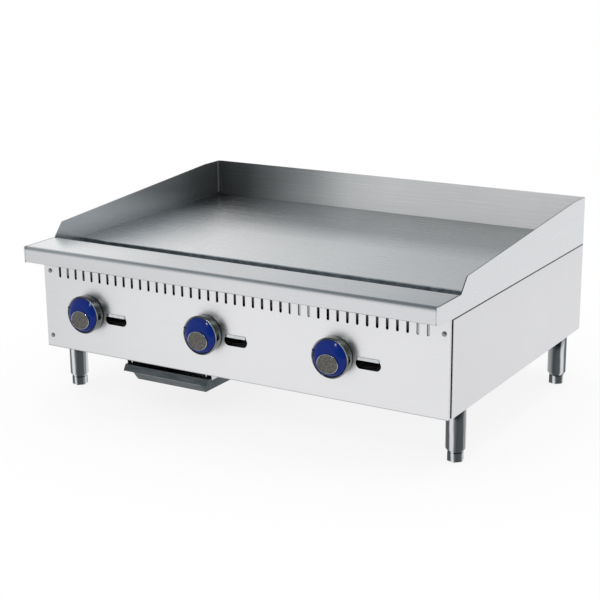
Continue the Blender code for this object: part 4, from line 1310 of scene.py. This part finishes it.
@dataclass
class ControlKnob:
    """Knob of a dark chrome cup, a blue grip that leans off centre and a satin cap."""

    palette: Palette
    number: int
    steps: int = 96
    stand_off: float = 0.002
    floor: float = 0.003
    gap: float = 0.0003
    base_radius: float = 0.0372
    lip: float = 0.0036
    lip_steps: int = 12
    bore: float = 0.0043
    shoulder: float = 0.020
    reach: float = 0.027
    end_radius: float = 0.0193
    end_drop: float = 0.0085
    dome: float = 1.6
    rings: int = 24
    cap_edge: float = 0.0008
    cap_edge_steps: int = 6
    cap_ring: float = 0.0012
    cap_dish: float = 0.0005
    bezel_width: float = 0.0009
    bezel_steps: int = 16
    mark_angle: float = math.radians(162)
    mark_size: Point2 = (0.0034, 0.0042)
    mark_proud: float = 0.0002
    radius: float = field(init=False)
    lip_reach: float = field(init=False)
    frame: Matrix = field(init=False)

    def __post_init__(self) -> None:
        """Measure the CAD cup, and stand the knob's frame on the panel."""
        low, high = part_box(f"knob_skirt_{self.number}")
        middle = (low + high) / 2
        self.radius = (high.x - low.x) / 2
        self.lip_reach = high.y - low.y + self.stand_off
        self.frame = Matrix.Translation((middle.x, high.y + self.stand_off, middle.z)) @ TO_COOK

    def build(self) -> None:
        """Build the knob's pieces in place of their CAD nodes."""
        look = self.palette
        self.piece("cup", "knob_skirt", self.turn_cup, look.chrome)
        self.piece("bezel", None, self.turn_bezel, look.bezel)
        self.piece("grip", "knob_grip", self.loft_grip, look.blue)
        self.piece("cap", "knob_cap", self.turn_cap, look.silver)
        self.piece("cap_rim", None, self.turn_cap_rim, look.bezel)
        self.piece("mark", None, self.add_mark, look.black)

    def piece(self, word: str, node: str | None, build: Fill, material: Material) -> None:
        """Add one piece of the knob.

        Args:
            word: What the piece is.
            node: CAD node that it replaces, without its number, if it does.
            build: Function that fills its mesh in the knob's frame.
            material: Its material.
        """
        made = new_piece(
            f"knob_{word}_{self.number}_shown", build, material, f"knob_{self.number}", self.frame)
        if node:
            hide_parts(f"{node}_{self.number}")

    def turn_cup(self, work: Mesh) -> None:
        """Turn the cup from its bore round its lip and back.

        Args:
            work: Mesh to fill.
        """
        half = self.lip / 2
        floor = self.stand_off + self.floor
        lip = arc((self.radius - half, self.lip_reach - half), (half, half), 0.0, math.pi, self.lip_steps)
        profile = [
            (self.bore, floor), (self.bore, self.stand_off), (self.base_radius - half / 2, self.stand_off),
            (self.base_radius, self.stand_off + half / 2), *lip, (self.radius - self.lip, floor),
            (self.bore, floor)]
        lathe(work, profile, self.steps)

    def turn_bezel(self, work: Mesh) -> None:
        """Turn the bright bead round the inner edge of the lip.

        Args:
            work: Mesh to fill.
        """
        half = self.bezel_width / 2
        centre = (self.radius - self.lip + half, self.lip_reach - self.lip / 2 + half)
        lathe(work, arc(centre, (half, half), 0.0, 2 * math.pi, self.bezel_steps), self.steps)

    def loft_grip(self, work: Mesh) -> None:
        """Loft the grip through rings that shrink and sink towards the cap.

        Args:
            work: Mesh to fill.
        """
        start = self.radius - self.lip - self.gap
        wide = self.cap_ratio()
        places = [(0.0, start, 1.0, self.stand_off + self.floor + self.gap)]
        for index in range(self.rings + 1):
            share = index / self.rings
            bulge = 1 - (1 - share) ** self.dome
            places.append((
                self.end_drop * share, start + (self.end_radius - start) * share, 1 + (wide - 1) * share,
                self.shoulder + (self.reach - self.shoulder) * bulge))
        loops = []
        for drop, radius, ratio, height in places:
            place = Matrix.Translation((0, -drop, height)) @ Matrix.Diagonal((ratio, 1, 1, 1))
            made = bmesh.ops.create_circle(work, segments=self.steps, radius=radius, matrix=place)
            loops.append(made["verts"])
        for lower, upper in zip(loops, loops[1:]):
            for index in range(self.steps):
                after = (index + 1) % self.steps
                work.faces.new((lower[index], lower[after], upper[after], upper[index]))
        work.faces.new(loops[-1])
        work.faces.new(loops[0][::-1])

    def cap_ratio(self) -> float:
        """Give the oval cap's width over its height."""
        low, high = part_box(f"knob_cap_{self.number}")
        return (high.x - low.x) / (high.z - low.z)

    def turn_oval(self, work: Mesh, profile: Sequence[Point2]) -> None:
        """Turn a profile about the cap's axis and stretch it to the cap's oval.

        Args:
            work: Mesh to fill.
            profile: Radius and height of each point.
        """
        lathe(work, profile, self.steps)
        place = Matrix.Translation((0, -self.end_drop, 0)) @ Matrix.Diagonal((self.cap_ratio(), 1, 1, 1))
        bmesh.ops.transform(work, matrix=place, verts=work.verts)

    def cap_sizes(self) -> Point3:
        """Measure the CAD cap.

        Returns:
            Its radius up the panel, and the heights of its base and its top over the panel.
        """
        low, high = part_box(f"knob_cap_{self.number}")
        base = self.reach + self.gap
        return (high.z - low.z) / 2, base, base + high.y - low.y

    def turn_cap(self, work: Mesh) -> None:
        """Turn the cap's slightly sunken face.

        Args:
            work: Mesh to fill.
        """
        radius, base, top = self.cap_sizes()
        inner, face = radius - self.cap_ring, top - self.cap_dish
        self.turn_oval(work, [(0, base), (inner, base), (inner, face), (0, face)])

    def turn_cap_rim(self, work: Mesh) -> None:
        """Turn the cap's bright rim with its rounded edge.

        Args:
            work: Mesh to fill.
        """
        radius, base, top = self.cap_sizes()
        inner, edge = radius - self.cap_ring, self.cap_edge
        outer = arc((radius - edge, top - edge), (edge, edge), 0.0, QUARTER_TURN, self.cap_edge_steps)
        self.turn_oval(
            work, [(inner, base), (radius, base), *outer, (inner, top - self.cap_dish), (inner, base)])

    def add_mark(self, work: Mesh) -> None:
        """Add the setting mark on the cup's lip.

        Args:
            work: Mesh to fill.
        """
        spot = Vector((self.radius - self.lip / 2, 0, self.lip_reach - self.lip / 4 + self.mark_proud))
        place = Matrix.Rotation(self.mark_angle, 4, "Z") @ Matrix.Translation(spot)
        add_block(work, place, (*self.mark_size, self.lip / 2), self.lip / 8)


@dataclass
class PanelTrim:
    """Small things on the front panel: the hoods over the pilot windows, and screws."""

    palette: Palette
    burner_xs: tuple[float, ...] = (-0.285, 0.0, 0.285)
    window_step: float = 0.010
    window_z: float = 0.180
    window_height: float = 0.0205
    hood_above: float = 0.0024
    hood_below: float = 0.0036
    hood_proud: float = 0.0014
    hood_lean: float = 0.0006
    hood_bend: float = 0.0011
    hood_sheet: float = 0.0008
    hood_span: Point2 = (-0.0232, 0.0222)
    screw_radius: float = 0.0048
    screw_height: float = 0.0026
    screw_rings: int = 8
    screw_steps: int = 32
    screws: tuple[Point2, ...] = ((-0.4393, 0.2629), (-0.4413, 0.1255), (0.4443, 0.2604))

    def build(self) -> None:
        """Build the hoods and the screws."""
        for number, burner_x in enumerate(self.burner_xs, start=1):
            self.build_hood(number, burner_x + self.window_step)
        for number, (x, z) in enumerate(self.screws, start=1):
            self.build_screw(number, x, z)

    def build_hood(self, number: int, x: float) -> None:
        """Build the hood that is pressed out above a pilot window.

        Args:
            number: Number of the window.
            x: Middle of the window.
        """
        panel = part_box("front_panel")[0].y
        edge = self.window_z + self.window_height / 2
        top = edge + self.hood_above
        front = panel - self.hood_proud
        folds = [(panel, top), (front, top), (front - self.hood_lean, edge - self.hood_below)]
        section = sheet_section(rounded(folds, (self.hood_bend,), BEND_STEPS), -self.hood_sheet)
        bar = bar_along_x(section, x + self.hood_span[0], x + self.hood_span[1])
        new_piece(f"window_hood_{number}", bar, self.palette.polished, BODY)

    def build_screw(self, number: int, x: float, z: float) -> None:
        """Build a domed screw head.

        Args:
            number: Number of the screw.
            x: Place across the panel.
            z: Place up the panel.
        """
        dome = arc((0, 0), (self.screw_radius, self.screw_height), 0.0, QUARTER_TURN, self.screw_rings)
        stand = Matrix.Translation((x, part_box("front_panel")[0].y, z)) @ TO_COOK
        new_piece(
            f"panel_screw_{number}", lambda work: lathe(work, [(0, 0), *dome], self.screw_steps),
            self.palette.dull, BODY, stand)


@dataclass
class SlotFlanges:
    """Bright flanges right behind the vent slots, where a bracket and the right end meet the front panel."""

    palette: Palette
    spans: tuple[Point2, ...] = ((0.1306, 0.1898), (0.3850, 0.4200))
    heights: Point2 = (0.238, 0.286)
    panel_sheet: float = 0.0012
    gap: float = 0.0004
    sheet: float = 0.0012
    reach: float = 0.010
    bend: float = 0.0025

    def build(self) -> None:
        """Build each flange with its upper edge folded back."""
        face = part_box("front_panel")[0].y + self.panel_sheet + self.gap
        low, high = self.heights
        path = rounded([(face, low), (face, high), (face + self.reach, high)], (self.bend,), BEND_STEPS)
        section = sheet_section(path, self.sheet)
        for number, (start, end) in enumerate(self.spans, start=1):
            bar = bar_along_x(section, start, end)
            new_piece(f"slot_flange_{number}", bar, self.palette.bezel, BODY)


@dataclass
class TrayTrim:
    """Bright hem along the tray's nose and the bent-up tabs at its runners' front ends."""

    palette: Palette
    nose_height: float = 0.0118
    hem_radius: float = 0.0007
    hem_steps: int = 10
    hem_inset: float = 0.012
    tab_width: float = 0.0032
    tab_height: float = 0.0098
    tab_sheet: float = 0.0010
    tab_edge: float = 0.0003

    def build(self) -> None:
        """Build the hem and the tabs."""
        low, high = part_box("grease_tray")
        radii = (self.hem_radius, self.hem_radius)
        section = arc((low.y, high.z - self.nose_height), radii, 0.0, 2 * math.pi, self.hem_steps)[:-1]
        bar = bar_along_x(section, low.x + 2 * self.hem_inset, high.x - self.hem_inset)
        new_piece("tray_hem", bar, self.palette.dull, "tray")
        for side, face, inward in (("left", 1, 1), ("right", 0, -1)):
            self.build_tab(side, face, inward)

    def build_tab(self, side: str, face: int, inward: int) -> None:
        """Build the tab at the front end of one runner, on the side that faces the tray.

        Args:
            side: Which runner.
            face: Which corner of the runner's box faces the tray, 0 for the lower X and 1 for the higher.
            inward: 1 where the tray lies at higher X and -1 where it lies at lower X.
        """
        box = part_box(f"tray_runner_{side}")
        size = (self.tab_width, self.tab_sheet, self.tab_height)
        stand = Matrix.Translation((
            box[face].x + inward * self.tab_width / 2, box[0].y - self.tab_sheet / 2,
            box[1].z - self.tab_height / 2))
        new_piece(
            f"runner_tab_{side}", lambda work: add_block(work, Matrix.Identity(4), size, self.tab_edge),
            self.palette.rear_sheet, BODY, stand)


@dataclass
class PhotoCamera:
    """Camera at the photograph's angle, from a fit to its edges."""

    azimuth: float = math.radians(31.03)
    elevation: float = math.radians(15.75)
    roll: float = math.radians(-0.53)
    lens: float = 86.55
    sensor: float = 36.0
    distance: float = 2.9911
    aside: float = -0.0275
    above: float = -0.0050
    target: Point3 = (0.0, 0.0, 0.190)

    def build(self) -> None:
        """Add the camera and make it the scene's."""
        level = math.cos(self.elevation)
        back = Vector((
            math.sin(self.azimuth) * level, -math.cos(self.azimuth) * level, math.sin(self.elevation)))
        flat_right = Vector((math.cos(self.azimuth), math.sin(self.azimuth), 0))
        flat_up = back.cross(flat_right)
        right = flat_right * math.cos(self.roll) + flat_up * math.sin(self.roll)
        up = flat_up * math.cos(self.roll) - flat_right * math.sin(self.roll)
        data = bpy.data.cameras.new("photo_camera")
        data.lens = self.lens
        data.sensor_width = self.sensor
        camera = bpy.data.objects.new("photo_camera", data)
        spot = Vector(self.target) + back * self.distance + right * self.aside + up * self.above
        turn = Matrix((right, up, back)).transposed().to_4x4()
        camera.matrix_world = Matrix.Translation(spot) @ turn
        bpy.context.scene.collection.objects.link(camera)
        bpy.context.scene.camera = camera


@dataclass(frozen=True)
class Lamp:
    """A square soft lamp that faces the griddle, and may light only pieces whose names start with a word."""

    name: str
    place: Point3
    power: float
    size: float
    in_gloss: bool
    lights: str = ""
    aim: Point3 = (0.0, 0.0, 0.2)

    def build(self) -> None:
        """Hang the lamp."""
        data = bpy.data.lights.new(self.name, "AREA")
        data.energy = self.power
        data.size = self.size
        lamp = bpy.data.objects.new(self.name, data)
        lamp.location = self.place
        way = Vector(self.aim) - Vector(self.place)
        lamp.rotation_euler = way.to_track_quat("-Z", "Y").to_euler()
        lamp.visible_glossy = self.in_gloss
        bpy.context.scene.collection.objects.link(lamp)
        if self.lights:
            lit = bpy.data.collections.new(f"lit_by_{self.name}")
            for obj in bpy.context.scene.objects:
                if obj.name.startswith(self.lights):
                    lit.objects.link(obj)
            lamp.light_linking.receiver_collection = lit


@dataclass
class Studio:
    """Pale floor, soft lamps, and a pale room that is darker on the right and behind the photographer."""

    floor_half: float = 9.0
    floor_colour: Colour = (0.90, 0.90, 0.90)
    room_light: float = 0.9
    right_side: Point3 = (0.98, 0.2, 0.0)
    wall_tones: tuple[Point2, ...] = ((0.14, 1.0), (0.33, 0.86), (0.42, 0.62), (0.60, 0.50), (1.0, 0.44))
    dark_corner: Point3 = (0.49, -0.83, 0.27)
    corner_turn: Point2 = (0.55, 0.95)
    dark_share: float = 0.90
    upward: Point3 = (0.0, 0.0, 1.0)
    ceiling_turn: Point2 = (0.40, 0.85)
    ceiling: float = 0.25
    room_colours: tuple[tuple[float, Colour], ...] = (
        (0.0, (0.0, 0.0, 0.0)), (0.15, (0.120, 0.150, 0.160)), (0.45, (0.425, 0.450, 0.468)),
        (1.0, (1.0, 1.0, 1.0)))
    lamps: tuple[Lamp, ...] = (
        Lamp("key_lamp", (0.6, -2.0, 1.9), 6.0, 0.45, True),
        Lamp("top_lamp", (-0.3, 0.1, 2.8), 16.0, 2.4, False),
        Lamp("spark_lamp", (-0.75, -5.7, 2.7), 28.0, 0.25, True, "knob_"),
    )

    def build(self) -> None:
        """Set up the floor, the room, the lamps and the view transform."""
        self.build_floor()
        self.build_room()
        for lamp in self.lamps:
            lamp.build()
        bpy.context.scene.view_settings.view_transform = "Standard"

    def build_floor(self) -> None:
        """Add the floor as part of the stage."""
        work = bmesh.new()
        bmesh.ops.create_grid(work, x_segments=1, y_segments=1, size=self.floor_half)
        mesh = bpy.data.meshes.new("floor")
        work.to_mesh(mesh)
        work.free()
        mesh.materials.append(FloorPaper("floor_paper", self.floor_colour).material())
        floor = bpy.data.objects.new("floor", mesh)
        bpy.context.scene.collection.objects.link(floor)

    def build_room(self) -> None:
        """Make the room white to the camera, and paler on one side than on the other in the metal."""
        world = bpy.data.worlds.new("room")
        world.use_nodes = True
        nodes = NodeBuilder(world.node_tree)
        across = nodes.map_range(self.toward(nodes, self.right_side), -1.0, 1.0)
        wall = nodes.ramp(across, [(place, (tone, tone, tone)) for place, tone in self.wall_tones])
        corner = nodes.map_range(
            self.toward(nodes, self.dark_corner), *self.corner_turn, 1.0, 1 - self.dark_share, "SMOOTHSTEP")
        height = nodes.map_range(
            self.toward(nodes, self.upward), *self.ceiling_turn, 1.0, self.ceiling, "SMOOTHSTEP")
        tone = nodes.scale(wall, nodes.calculate("MULTIPLY", corner, height))
        gloss = nodes.add("ShaderNodeLightPath").outputs["Is Glossy Ray"]
        colour = nodes.mix_colours(gloss, WHITE, nodes.ramp(tone, self.room_colours))
        strength = nodes.map_range(shown_rays(nodes), 0.0, 1.0, self.room_light, 1.0)
        background = nodes.add("ShaderNodeBackground", {"Color": colour, "Strength": strength})
        nodes.add("ShaderNodeOutputWorld", {"Surface": background.outputs[0]})
        bpy.context.scene.world = world

    def toward(self, nodes: NodeBuilder, way: Point3) -> Socket:
        """Give how nearly a ray runs towards a direction.

        Args:
            nodes: Builder of the world's tree.
            way: The direction.

        Returns:
            Number output, 1 along the direction and -1 against it.
        """
        ray = nodes.add("ShaderNodeTexCoord").outputs["Generated"]
        values = {0: ray, 1: tuple(Vector(way).normalized())}
        return nodes.add("ShaderNodeVectorMath", values, operation="DOT_PRODUCT").outputs["Value"]


def clear_scene() -> None:
    """Remove what Blender's own start scene holds."""
    for obj in list(bpy.data.objects):
        bpy.data.objects.remove(obj, do_unlink=True)


def main() -> None:
    """Build the griddle's looks around the CAD frame."""
    logging.basicConfig(level=logging.INFO, format="%(message)s")
    clear_scene()
    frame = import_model()
    palette = Palette.build()
    dresser = CadDresser(frame["nodes"])
    SheetBody(dresser, palette).dress()
    SeamShadeStrips(palette).build()
    GasTrain(dresser, palette).dress()
    PlatingLedge(palette).build()
    for place in ("front_left", "front_right", "rear_left"):
        AdjustableLeg(palette, place, palette.tube).build()
    AdjustableLeg(palette, "rear_right", palette.turned_tube).build()
    for number in range(1, BURNERS + 1):
        ControlKnob(palette, number).build()
    PanelTrim(palette).build()
    SlotFlanges(palette).build()
    TrayTrim(palette).build()
    Studio().build()
    PhotoCamera().build()


if __name__ == "__main__":
    main()
